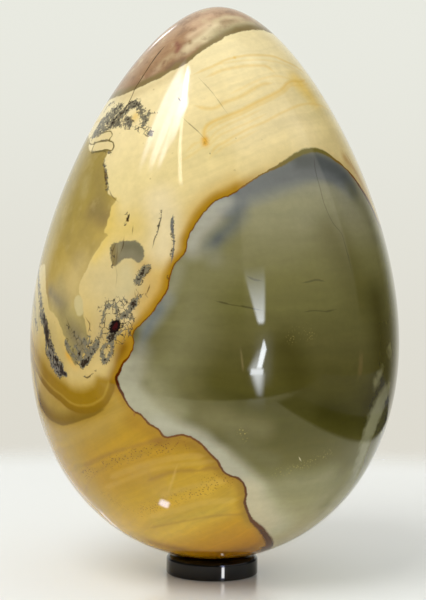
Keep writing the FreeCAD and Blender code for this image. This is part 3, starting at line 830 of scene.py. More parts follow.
# The rocks: colours of their layers by height in mm, and strokes over them: path, radius, softness, colour,
# and opacity if it isn't full.
rockPaints = {
    "host": {
        "layers": [(-4, "#9a6400"), (4, "#b87e00"), (9, "#ce9a06"), (14, "#d9b136"), (20, "#d5aa30"),
            (26, "#c89e1c"), (33, "#b98c04"), (42, "#b48a0a"), (50, "#ae891a"), (56, "#b0913c"),
            (62, "#ba9c50"), (68, "#c6ab64"), (76, "#d0b97a"), (88, "#d9c58a"), (100, "#e1cf94"),
            (110, "#e8d6a0"), (120, "#ecdcaa")],
        "seen": [
            ([(62, 436), (76, 462), (96, 500)], 3.5, 6, "#b0923c", 0.6),
            ([(66, 436), (100, 424), (118, 408)], 2.2, 3.2, "#b0903e", 0.7),
            ([(130, 420), (144, 428), (160, 440)], 1.2, 2.2, "#9c7000", 0.7),
            ([(160, 441), (182, 441), (198, 448)], 0.9, 2.4, "#8c5e00", 0.8),
            ([(206, 456), (222, 474), (238, 486), (243, 500), (250, 520)], 0.9, 2.2, "#a37400", 0.7),
            ([(158, 522), (190, 516), (222, 512)], 1.5, 3.0, "#c8a83c", 0.8),
            ([(166, 496), (190, 489), (210, 482), (224, 489)], 1.8, 2.8, "#c79f24", 0.8),
            ([(236, 500), (243, 512), (250, 524)], 1.0, 2.0, "#c69e14", 0.6),
            # painted shade: the cream darkened and greyed just below the cap's edge
            ([(116, 98), (134, 94), (156, 84), (176, 72)], 0.8, 2.4, "#ccb785", 0.8),
            ([(296, 80), (304, 90), (314, 102)], 1.6, 2.6, "#ebcc74", 0.6),
            ([(236, 189), (213, 202), (199, 216), (190, 232), (181, 248), (171, 268), (162, 288),
             (150, 308), (134, 325), (126, 342), (120, 360), (114, 376)], 2.4, 3.2, "#c69f44", 0.85),
            ([(240, 187), (214, 200), (201, 212), (191, 229), (183, 247), (172, 268), (164, 288),
             (153, 308), (138, 323), (130, 340), (124, 358), (115, 376)], 0.8, 1.6, "#a8801c", 0.85),
            ([(125, 348), (120, 360), (115, 372), (112, 384)], 1.7, 1.8, "#744e06", 0.9),
            ([(345, 158), (357, 174), (368, 196)], 0.9, 1.6, "#a8752c", 0.7),
            ([(300, 84), (308, 92)], 2.0, 3.0, "#e6c566", 0.7),
            ([(248, 128), (266, 121), (284, 116), (296, 124)], 5.0, 6.0, "#e9d7a6", 0.75),
            ([(110, 224), (120, 231), (131, 226)], 3.0, 4.0, "#d4ba68", 0.8),
            ([(112, 206), (108, 226), (104, 243), (95, 257)], 1.4, 2.0, "#d9bd62", 0.75),
            ([(104, 284), (118, 290), (110, 306)], 4.0, 4.0, "#cbb986", 0.9),
            ([(128, 272), (133, 284), (127, 294)], 3.0, 3.0, "#c6b889", 0.9),
            ([(146, 268), (150, 285), (143, 300), (132, 312)], 2.2, 3.0, "#c5a562", 0.8),
            ([(160, 200), (166, 225), (164, 250)], 3.2, 3.0, "#dfcfa4", 0.8),
            ([(124, 308), (128, 318)], 2.0, 2.5, "#d3c191", 0.8),
            ([(100, 330), (97, 344), (103, 356), (97, 366)], 2.4, 2.8, "#bda876", 0.8),
            ([(52, 330), (56, 345), (62, 360)], 1.6, 1.8, "#bba76e", 0.8),
            ([(34, 334), (38, 350), (50, 372)], 2.2, 3.4, "#a88530", 0.7),
            ([(34, 300), (36, 320)], 2.5, 3.0, "#b5a87c", 0.8),
            ([(68.5, 354), (72, 361), (75, 368)], 0.9, 0.9, "#d9a12e", 0.95),
            ([(204.8, 139), (205.4, 143.5)], 0.7, 0.7, "#dba32c", 0.95),
            ([(134.8, 117.3)], 1.0, 1.2, "#e3c06a", 0.8),
            ([(72, 372), (88, 372), (102, 366)], 2.5, 2.5, "#d3ba78", 0.8),
            ([(150, 542), (180, 549), (215, 553), (245, 550)], 1.4, 2.8, "#9a680c", 0.85),
        ],
        "hidden": [
            ([(-110, 60), (-130, 64), (-150, 60)], 5, 6, "#c9b277", 0.7),
            ([(-135, 88), (-150, 98), (-160, 90)], 6, 7, "#d9c388", 0.8),
            ([(165, 80), (180, 88), (195, 84)], 5, 6, "#c39b3e", 0.7),
            ([(150, 100), (165, 106), (190, 103)], 5, 6, "#e6d5a0", 0.7),
        ],
    },
    "dome": {
        "layers": [(2, "#d6cca8"), (9, "#cbc098"), (14, "#bdb186"), (18, "#ada374"), (23, "#a09a6c"),
            (28, "#807c50"), (33, "#696433"), (38, "#585322"), (42, "#4f4b1a"), (47, "#4e4a1e"),
            (52, "#544f22"), (61, "#5e5930"), (68, "#686436"), (75, "#6c6839"), (81, "#757145"),
            (88, "#858160"), (95, "#85836c")],
        "seen": [
            ([(196, 262), (190, 300), (184, 335), (172, 362), (168, 386)], 5, 6, "#7e7a54", 0.85),
            ([(262, 215), (290, 208), (325, 206)], 4, 4, "#8d8a68", 0.8),
            ([(228, 262), (250, 250), (285, 240)], 4, 5, "#807c58", 0.6),
            ([(330, 232), (345, 262), (358, 296)], 4, 5, "#585326", 0.7),
            ([(376, 300), (381, 340), (381, 380), (370, 405)], 4, 5, "#403b0c", 0.85),
            ([(355, 420), (365, 440), (352, 462)], 2.5, 3.5, "#5c5822", 0.6),
            ([(377, 225), (388, 250), (392, 285)], 1.6, 2.2, "#8a825a", 0.7),
            # slate band under the upper edge
            ([(226, 203), (243, 194), (262, 187), (284, 178), (303, 171), (320, 169), (334, 174),
             (347, 184)], 3.3, 1.3, "#696d6e", 0.95),
            ([(300, 160), (316, 160), (330, 166), (343, 176), (353, 190)], 2.2, 2.0, "#4f5352", 0.9),
            ([(352, 192), (366, 214), (376, 238)], 1.8, 3.0, "#6b6a48", 0.6),
            ([(254, 203), (285, 192), (320, 186), (346, 194)], 1.0, 2.0, "#8b8a72", 0.6),
            # light rim and blue grey smoke on the left
            ([(204, 217), (213, 208), (226, 203)], 1.9, 2.2, "#a3a396", 0.9),
            ([(192, 246), (199, 230), (211, 217)], 2.4, 2.4, "#a4a292", 0.9),
            ([(213, 243), (220, 236), (229, 228), (240, 214)], 1.5, 2.4, "#5f6564", 0.85),
            ([(206, 247), (213, 244), (219, 238)], 0.8, 1.2, "#50565a", 0.6),
            ([(206, 250), (214, 258)], 1.6, 2.2, "#8c8b74", 0.6),
            ([(178, 268), (173, 284), (168, 296)], 1.2, 2.2, "#9a9880", 0.6),
            ([(166, 300), (156, 316), (146, 328)], 1.6, 1.8, "#85877d", 0.8),
            ([(160, 308), (150, 324), (143, 340), (140, 350)], 0.8, 1.4, "#646b6c", 0.8),
            # pale foot of the zone along its lower left edge
            ([(128, 372), (126, 384), (134, 400), (146, 412), (160, 424)], 4.0, 2.0, "#a8a58c", 0.95),
            ([(140, 352), (136, 366)], 2.2, 2.6, "#94917a", 0.8),
            ([(160, 424), (180, 431), (200, 440), (214, 453)], 2.2, 1.8, "#b0ad97", 0.95),
            ([(220, 460), (236, 474), (250, 490)], 3.0, 2.2, "#b6b29a", 0.95),
            ([(254, 498), (262, 514), (276, 528)], 4.0, 4.0, "#c0bc9a", 0.9),
            ([(150, 376), (160, 396), (180, 412)], 2.0, 3.2, "#95916e", 0.75),
            ([(326, 504), (338, 490), (348, 474)], 1.6, 2.6, "#7c7640", 0.7),
            ([(232, 436), (250, 452), (272, 462)], 1.8, 2.2, "#726e48", 0.6),
            ([(188, 386), (200, 398), (222, 412)], 2.0, 3.0, "#6d673c", 0.6),
            ([(205, 419), (235, 424), (262, 430)], 2.0, 3.2, "#7d7750", 0.7),
            ([(288, 484), (308, 483), (326, 477)], 2.4, 4.0, "#a09c74", 0.6),
            ([(286, 345), (292, 358), (296, 374)], 3.4, 3.4, "#3f3a0a", 0.6),
            # painted reflection: a dark strip where a dark band of the table shows in the polish
            ([(325, 412), (345, 420), (366, 424)], 2.6, 3.0, "#3a3706", 0.7),
            ([(246, 492), (256, 508), (266, 524)], 3.0, 3.0, "#d2c6a2", 0.8),
        ],
        "hidden": [
            ([(100, 84), (112, 70), (125, 55)], 6, 7, "#77754c", 0.7),
            ([(90, 60), (105, 48), (120, 36)], 6, 7, "#575228", 0.8),
            ([(120, 30), (130, 40), (128, 52)], 4, 5, "#9a9674", 0.8),
            ([(110, 20), (130, 26)], 3, 4, "#b3ae88", 0.8),
        ],
    },
    # where the fine dots show: brown along the rust lines, and gold in the dome
    "dots": {
        "layers": [(0, "#000000")],
        "seen": [
            ([(84, 474), (100, 466), (118, 460), (140, 453), (160, 448), (184, 445)],
             1.3, 1.1, "#ffffff", 0.95),
            ([(146, 509), (172, 500), (195, 493), (212, 487), (228, 480)], 1.5, 1.2, "#ffffff", 0.62),
            ([(102, 492), (120, 505), (140, 513)], 0.9, 1.0, "#ffffff", 0.5),
            ([(205, 478), (220, 474)], 0.8, 1.0, "#ffffff", 0.5),
            ([(241, 431), (245, 434), (246, 440)], 0.5, 0.5, "#ffffff"),
            ([(277, 473), (296, 468), (314, 461), (328, 454)], 1.0, 1.2, "#ffffff", 0.45),
            ([(292, 338), (300, 330), (310, 334)], 1.2, 1.2, "#ffffff", 0.25),
        ],
        "hidden": [
            ([(170, 38), (190, 40), (212, 44), (235, 48)], 1.4, 1.2, "#ffffff", 0.8),
            ([(175, 58), (200, 60), (230, 64)], 1.2, 1.2, "#ffffff", 0.5),
        ],
    },
    "olive": {
        "layers": [(60, "#8c7c4e"), (68, "#9c8d58"), (75, "#b3a266"), (82, "#bda768"), (90, "#b39b52"),
            (100, "#a08c48"), (112, "#9d8a4a")],
        "seen": [
            ([(94, 210), (104, 218)], 2.0, 2.6, "#837048", 0.9),
            ([(97, 176), (100, 196), (99, 210)], 1.6, 3.0, "#8f7d48", 0.7),
            ([(50, 292), (57, 300), (63, 305)], 1.5, 2.2, "#877f6b", 0.9),
            ([(60, 284), (66, 296)], 1.5, 2.2, "#9c8f66", 0.6),
            ([(72, 330), (80, 342), (84, 350)], 1.7, 1.8, "#7d735a", 0.9),
            ([(64, 312), (70, 324)], 1.8, 2.2, "#978a5c", 0.8),
            ([(80, 262), (74, 278), (72, 290)], 2.0, 3.4, "#c4ae74", 0.8),
            ([(86, 180), (84, 192)], 1.2, 2.0, "#b0a06a", 0.7),
            ([(58, 250), (50, 275)], 1.8, 2.6, "#a98f3c", 0.7),
            ([(46.5, 280), (47.5, 300)], 0.5, 0.8, "#a8843a", 0.7),
        ],
        "hidden": [
            ([(-95, 110), (-105, 104)], 3, 4, "#8a7b4c", 0.8),
            ([(-90, 118), (-100, 116)], 2, 3, "#b9a666", 0.8),
        ],
    },
    "cap": {
        "layers": [(118, "#8b6f4c"), (124, "#99795a"), (130, "#a98766"), (138, "#b6967a"),
            (150, "#b59a7c")],
        "seen": [
            ([(186, 50), (193, 43), (201, 38), (209, 31), (216, 25)], 1.1, 1.3, "#dccda6", 0.9),
            ([(204, 41), (212, 36)], 0.9, 1.1, "#d3c59c", 0.85),
            ([(190, 36), (199, 30), (208, 24)], 0.8, 1.4, "#e2cba8", 0.8),
            ([(178, 56), (184, 52)], 0.7, 0.9, "#c3ad88", 0.8),
            ([(158, 68), (165, 61), (172, 55)], 0.9, 1.2, "#b9a27c", 0.85),
            ([(152, 75), (157, 70)], 0.7, 1.0, "#b3967a", 0.7),
            ([(176, 43), (179, 47), (177, 51)], 0.5, 0.7, "#86544a", 0.85),
            ([(189.5, 41), (190.5, 43.5)], 0.35, 0.5, "#8a6a48", 0.9),
            ([(164, 62), (163, 65)], 0.35, 0.5, "#7d5a44", 0.9),
            ([(169, 68), (176, 63), (182, 60)], 0.6, 0.9, "#7c6852", 0.8),
            ([(219, 33), (232, 27), (246, 24), (260, 26)], 1.5, 1.8, "#b4a982", 0.9),
            ([(214, 40), (226, 33.5), (238, 29), (251, 27.5), (264, 28.5)], 0.9, 1.1, "#8a8460", 0.85),
            ([(196, 24), (210, 15)], 1.6, 2.0, "#c3a284", 0.8),
            ([(216, 21), (226, 17), (240, 18)], 0.7, 0.9, "#cdbf98", 0.7),
            ([(222, 22), (232, 20)], 0.4, 0.6, "#8c7f5c", 0.6),
            ([(118, 94), (132, 87), (146, 79)], 1.2, 1.6, "#8f6f58", 0.6),
        ],
        "hidden": [
            ([(120, 152), (150, 150), (180, 148)], 2.0, 2.4, "#d2c098", 0.7),
            ([(90, 151), (112, 149)], 1.4, 1.8, "#a69d76", 0.8),
            ([(200, 150), (222, 152)], 1.2, 1.6, "#8a6250", 0.7),
            ([(-120, 154), (-150, 156)], 2.0, 3.0, "#8c6750", 0.6),
            ([(90, 165), (150, 163)], 2.0, 2.5, "#c8b38a", 0.7),
        ],
    },
    # the small smoky spots and the mineral growths
    "dark": {
        "layers": [(0, "#79735f")],
        "seen": [
            ([(118, 243), (130, 246), (141, 252)], 5, 2, "#80795f"),
            ([(126, 246), (136, 246), (141, 252)], 1.0, 1.2, "#6f6a50", 0.8),
            ([(113, 247), (114, 256), (113, 264)], 0.9, 0.9, "#857345", 0.9),
            ([(119, 244), (118, 252)], 0.5, 0.6, "#8f8560", 0.8),
            ([(46, 325), (48, 340)], 1.0, 0.8, "#4a3a34", 0.9),
            ([(50, 352), (57, 366)], 1.4, 0.8, "#7d776c", 0.9),
            ([(389, 345), (382, 372), (383, 400), (374, 420)], 9, 3, "#7c784e"),
            ([(371, 430), (362, 455), (352, 486)], 7, 5, "#8f8d68"),
        ],
    },
}
outlines = jasperPattern["outlines"]
lineLook = {
    "spacing": 4.3,  # mm between any two lines in one set
    "reach": 2.8,  # mm from a line over which its values are kept
    "fade": (1.7, 0.5),  # mm from a line where its strength ends, and over how many mm
    "taper": 1.2,  # mm at each end
    "beads": 1.7,  # mm between the random values that break a line
    "breaks": (0.45, 0.6),  # the random values over which it breaks
    "overrun": 4,  # mm that the beads go past its end
}


def sortLines(paths):
    # a line goes into the first set in which every other one is at least the spacing away
    sets = []
    tracks = [onEgg(*p[::3].T) for p in paths]
    for n, track in enumerate(tracks):
        for members in sets:
            near = min(np.sqrt(((track[:, None] - tracks[m][None]) ** 2).sum(-1)).min() for m in members)
            if near > lineLook["spacing"]:
                members.append(n)
                break
        else:
            sets.append([n])
    return sets


def saveLines(kind):
    # per vertex: mm across the nearest line, its width there, its strength near it, and its tone
    reach, (faded, fade) = lineLook["reach"], lineLook["fade"]
    lines = laidOut(jasperPattern[kind])
    paths = [smoothPath(line[0], step=0.3) for line in lines]
    names = []
    for n, members in enumerate(sortLines(paths)):
        across, width, nearest = (np.full(vertexCount, v) for v in (9.0, -1.0, reach))
        strength, tone = np.zeros((2, vertexCount))
        for m in members:
            _, size, label, force, broken = (*lines[m], 0.0)[:5]
            picked, signed, distance, place, total = measure(paths[m], reach)
            use = distance < nearest[picked]
            picked, signed, distance, place = (a[use] for a in (picked, signed, distance, place))
            nearest[picked] = distance
            # random values along the line break it, and its ends taper
            beads = np.arange(0, total + lineLook["overrun"], lineLook["beads"])
            beats = np.interp(place, beads, seeds.random(len(beads)))
            taper = np.minimum(place, total - place) / min(lineLook["taper"], total / 3)
            whole = 1 - broken * smoothStep(*lineLook["breaks"], beats)
            across[picked] = signed
            width[picked] = size * np.clip(taper, -1, 1) * whole
            strength[picked] = force * np.clip((faded - distance) / fade, 0, 1)
            tone[picked] = jasperPattern["tones"][label][0]
        names.append(f"{kind}{n}")
        saveField(names[-1], across, width, strength, tone)
    return names


lineSets = {kind: saveLines(kind) for kind in ("flow", "veinsAndReflectedEdge")}
print("lines in", len(lineSets["flow"]), "soft and", len(lineSets["veinsAndReflectedEdge"]), "crisp sets")


def saveDomeEdge(wholeEgg=500.0, far=30):
    # mm inside the dome's outline, and the width, darkness and gold of its line, read at the nearest place
    spots = np.vstack([seen(outlines["domeSeen"]), np.array(outlines["domeHidden"], float)])
    path = smoothPath(spots, closed=True)
    picked, _, distance, place, total = measure(path, wholeEgg, closed=True)
    signed = np.where(enclosed(path, picked), 1, -1) * np.minimum(distance, far)
    track = onEgg(*path.T)
    run = np.linspace(0, total, len(path))
    stations = []
    for pixel, *values in jasperPattern["domeLine"]:
        spot = onEgg(*seen([pixel])[0])
        stations.append((run[((track - spot) ** 2).sum(1).argmin()], *values))
    close, (past, *beyond) = jasperPattern["domeLineEnds"]
    stations += [(total, *close), (stations[-1][0] + past, *beyond)]
    stations = np.array(sorted(stations))
    saveField("domeEdge", signed, *[np.interp(place, stations[:, 0], stations[:, n]) for n in (1, 2, 3)])


def capHeight(lon, gap=25, every=12):
    # side of the cap's edge: the photo's points where it shows, and a tilted plane's cut every few degrees
    # from a gap past them
    edge = seen(jasperPattern["capEdge"])
    mean, swing, peak = jasperPattern["capCut"]
    hidden = np.arange(edge[-1, 0] + gap, edge[0, 0] + 360 - gap, every)
    cut = mean + swing * np.cos(np.radians(hidden - peak))
    known = np.vstack([edge, np.stack([hidden, cut], -1)])
    known = np.vstack([known - [360, 0], known, known + [360, 0]])
    return np.interp(lon, known[:, 0], known[:, 1])


def growthField():
    # how dense the dark mineral growths are, from 0 to 1
    growth = np.zeros(vertexCount)
    for spots, radius, soft, dense in laidOut(jasperPattern["growths"]):
        picked, _, distance, _, _ = measure(smoothPath(spots, step=0.5), radius + soft + 1)
        fade = 1 - smoothStep(radius - soft, radius + soft, distance)
        growth[picked] = np.maximum(growth[picked], dense * fade)
    return growth


def shellField(pixels, hidden, fadeIn, reach=14.0, end=(-1.5, 0.5), fadeOut=(10, 13)):
    # mm inside the outer edge of a banded shell, and how much of the shell is left: all in mm, it fades in
    # along its hidden end, ends softly in sight, and fades out within its reach
    spots = np.vstack([np.array(hidden, float), seen(pixels)])
    picked, signed, distance, place, total = measure(smoothPath(spots), reach)
    across, fade = np.full(vertexCount, -9.0), np.zeros(vertexCount)
    across[picked] = signed
    fade[picked] = smoothStep(0, fadeIn, place) * (1 - smoothStep(*end, place - total))
    fade[picked] *= 1 - smoothStep(*fadeOut, distance)
    return across, fade


saveDomeEdge()
capInside = (vertexSide - capHeight(vertexLon)) * 0.93  # the edge leans, so it is nearer than along the side
oliveLoop = np.vstack([seen(outlines["oliveSeen"]), np.array(outlines["oliveHidden"], float)])
mushroom, maroonSpot, creamLens, *chips = (seen(outlines[name]) for name in (
    "mushroom", "maroonSpot", "creamLens", "chipUpper", "chipLower"))
saveField("zones", np.clip(capInside, -12, 12), patchField(oliveLoop), ribbonField("paleVein"),
          patchField(creamLens))
saveField("spots", patchField(mushroom), patchField(maroonSpot), patchField(*chips),
          ribbonField("brownPatch"))
shells = jasperPattern["shells"]
saveField("shells", *shellField(*shells["gold"]), *shellField(*shells["rim"]))
saveField("ink", growthField())
print("outlines measured")


def painted(name, height):
    # the rock's layers by height; then each stroke's colour within its radius, fading out over its softness
    rock = rockPaints[name]
    levels = [level for level, _ in rock["layers"]]
    shades = np.array([toLinear(shade)[:3] for _, shade in rock["layers"]])
    colour = np.stack([np.interp(height, levels, shades[:, n]) for n in range(3)], -1)
    for row in laidOut(rock):
        spots, radius, soft, shade, opacity = (*row, 1.0)[:5]
        if len(spots) == 1:
            spots = np.vstack([spots, spots + [[0.3, 0.3]]])
        picked, _, distance, _, _ = measure(smoothPath(spots, step=0.8), radius + soft + 1)
        weight = (1 - smoothStep(radius - soft, radius + soft, distance)) * opacity
        weight = weight[:, None]
        colour[picked] = colour[picked] * (1 - weight) + np.array(toLinear(shade)[:3]) * weight
    return colour


layerLook = {
    # waves that bend the layers: mm high, then a, b and p, then c and q, with p and q in radians and the
    # rest in mm
    "hostWaves": [(2.2, (17, np.inf, 0.6), (21, 0)), (1.2, (7.3, 19, 0), (9.1, 1))],
    "domeTilt": (0.06, 0, 1),
    "domeWaves": [(1.4, (14, np.inf, 1), (17, 0))],
    # how clearly the layers show: a least share, and amounts added, from none at one height in mm to all
    # at the next, in the gold rock below and the palest above
    "streaks": 0.25,
    "moreStreaks": [(0.75, 62, 46), (0.25, 84, 96)],
    # the broken cream zone: the share of the streaks lost in it, and where each of its edges fades in, by
    # height, by mm along the side, and by longitude
    "brokenShare": 0.75,
    "brokenHeight": (56, 62),
    "brokenSide": (40, 75),
    "brokenRight": (-8, -30),
    "brokenLeft": (-120, -90),
}


def waves(rows):  # the sum of the rows' height times sin(x / a + z / b + p) cos(y / c + q)
    x, y, z = vertexPoints.T
    return sum(height * np.sin(x / a + z / b + p) * np.cos(y / c + q) for height, (a, b, p), (c, q) in rows)


def savePaints():
    # heights in the tilted layers of the host and in the flatter ones of the dome
    plain = vertexPoints @ np.array(jasperPattern["tilt"])
    height = plain + waves(layerLook["hostWaves"])
    domeHeight = vertexPoints @ np.array(layerLook["domeTilt"]) + waves(layerLook["domeWaves"])
    streaks = layerLook["streaks"]
    for amount, low, high in layerLook["moreStreaks"]:
        streaks = streaks + amount * smoothStep(low, high, height)
    broken = layerLook["brokenShare"] * smoothStep(*layerLook["brokenHeight"], height)
    for edge, along in (("Side", vertexSide), ("Right", vertexLon), ("Left", vertexLon)):
        broken = broken * smoothStep(*layerLook["broken" + edge], along)
    streaks = np.clip(streaks * (1 - broken), 0, 1)
    saveField("hostPaint", *painted("host", height).T, streaks)
    saveField("domePaint", *painted("dome", domeHeight).T, painted("dots", plain)[:, 0])
    for name in ("olive", "dark", "cap"):
        saveField(name + "Paint", *painted(name, plain).T)


savePaints()
print("rock painted")


# The jasper's material.

jasperLook = {
    "ior": 1.54,
    "roughness": 0.035,
    "tint": "#fff8ce",
    "lineSoft": {"flow": 0.36, "veinsAndReflectedEdge": 0.11},  # mm, each side of a line's edge
    "lineStir": 0.30,  # mm that grain moves a line's edges
    # the stone's grain: size in mm, detail and roughness of the noise
    "grain": {
        "smoke": (11.0, 3.0, 0.55),
        "cloud": (4.5, 4.0, 0.6),
        "fleck": (1.6, 3.0, 0.6),
        "dust": (0.55, 2.0, 0.6),
    },
    # masks: the field and its column, the grain that moves the edge and by how many mm, half the softness,
    # and how far the edge moves inwards
    "masks": {
        "dome": ("domeEdge", 0, "fleck", 0.7, 0.10, 0.0),
        "cap": ("zones", 0, "fleck", 1.3, 0.22, 0.0),
        "capBody": ("zones", 0, "cloud", 3.0, 1.0, 1.7),
        "olive": ("zones", 1, "fleck", 1.3, 0.22, 0.0),
        "paleVein": ("zones", 2, "fleck", 3.0, 1.25, 0.0),
        "lens": ("zones", 3, "fleck", 0.5, 0.30, 0.0),
        "mushroom": ("spots", 0, "dust", 0.8, 0.22, 0.0),
        "maroon": ("spots", 1, "dust", 0.9, 0.15, 0.0),
        "maroonHeart": ("spots", 1, "dust", 0.9, 0.20, 0.75),
        "chip": ("spots", 2, "fleck", 0.4, 0.12, 0.0),
        "chipEdge": ("spots", 2, "fleck", 0.8, 0.15, -0.3),
        "brownPatch": ("spots", 3, "dust", 1.1, 0.18, 0.1),
        "gold": ("shells", 0, "fleck", 0.5, 0.30, 0.0),
        "rim": ("shells", 2, "fleck", 0.5, 0.30, 0.0),
    },
    # layers: which way they lie, metres that smoke bends them, mm along them, mm across, detail
    "sheets": {
        "broad": ("tilted", 0.0045, 90.0, 5.5, 2.0),
        "fine": ("tilted", 0.0045, 80.0, 1.3, 3.0),
        "domeSheet": ("level", 0.005, 40.0, 4.0, 3.0),
    },
    "sheetRoughness": 0.6,
    # shares: a source between two values turned into another range
    "shares": {
        "broadLevel": ("broad", 0.28, 0.72, 0.10, -0.14),
        "fineLevel": ("fine", 0.30, 0.70, 0.07, -0.10),
        "cloudLevel": ("cloud", 0.3, 0.7, 0.95, 1.04),
        "fleckLevel": ("fleck", 0.3, 0.7, 0.96, 1.035),
        "smokeDark": ("smoke", 0.50, 0.68, 0.0, 0.30),
        "smokePale": ("cloud", 0.52, 0.70, 0.0, 0.25),
        "capDark": ("cloud", 0.52, 0.66, 0.0, 0.55),
        "capPale": ("cloud", 0.46, 0.34, 0.0, 0.50),
        "domeLevel": ("domeSheet", 0.30, 0.70, 1.09, 0.91),
    },
    # mineral growths: how much each grain adds to their density, and where they turn grey and black
    "growthStir": {"fleck": 1.25, "dust": 0.9},
    "growthShades": {"inkGrey": (1.66, 1.84), "inkBlack": (1.94, 2.12)},
    # their hairlines: edges of cells of a size in mm, bent by noise of a size in mm over some metres
    "hair": {"cell": 1.7857, "bendSize": 2.381, "bendDetail": 4.0, "bend": 0.0030, "edge": (0.075, 0.02),
             "stir": 0.9, "near": (0.80, 0.95), "overGrey": 0.85},
    # banded shells: mm inwards where they end, softly, and their colours over the first 8 mm
    "shellDepth": 8,
    "shellStir": 0.10,
    "shells": {
        "gold": (0, (7.0, 4.6), [(0.0, "#846200"), (0.17, "#8c6a02"), (0.24, "#a88624"), (0.30, "#957204"),
                                 (0.55, "#957204"), (0.8, "#b0903a")]),
        "rim": (2, (5.6, 2.6), [(0.0, "#7c6010"), (0.2, "#8a6c1a"), (0.45, "#a08436"), (0.7, "#b59a54")]),
    },
    # specks in cells: size in mm, their reach in a cell, and how much cloud there has to be; then how much
    # of the reach is full, and over how much cloud they come in
    "specks": {"speck": (2.1, 0.16, 0.56), "dots": (0.56, 0.40, 0.36)},
    "speckCore": 0.45,
    "speckThinning": 0.08,
    "speckLevel": 0.35,
    # the dome's line: mm that grain moves it, its softness, its full core, and its colours by darkness
    "domeLine": {"stir": 0.7, "soft": 0.10, "core": 0.35,
                 "stops": [(0.1, "#6b6530"), (0.4, "#7a5c20"), (0.7, "#703c04"), (0.95, "#471700")]},
    "glowReach": (-2.6, -0.1),  # mm outside it over which the gold beside it grows
    "shades": {
        "smokeDark": "#7a6c44",
        "smokePale": "#c9b67c",
        "glow": "#a37a16",
        "lens": "#c4b683",
        "chipEdge": "#6d6030",
        "chip": "#e0cd97",
        "brownPatch": "#5a4420",
        "speck": "#6a4a18",
        "dots": "#6b3f08",
        "domeDots": "#b9a658",
        "capRim": "#82714a",
        "capDark": "#7c5c48",
        "capPale": "#cdb892",
        "hair": "#463e30",
        "inkBlack": "#33291f",
        "maroon": "#1c0f0e",
        "maroonHeart": "#3c0f12",
    },
}


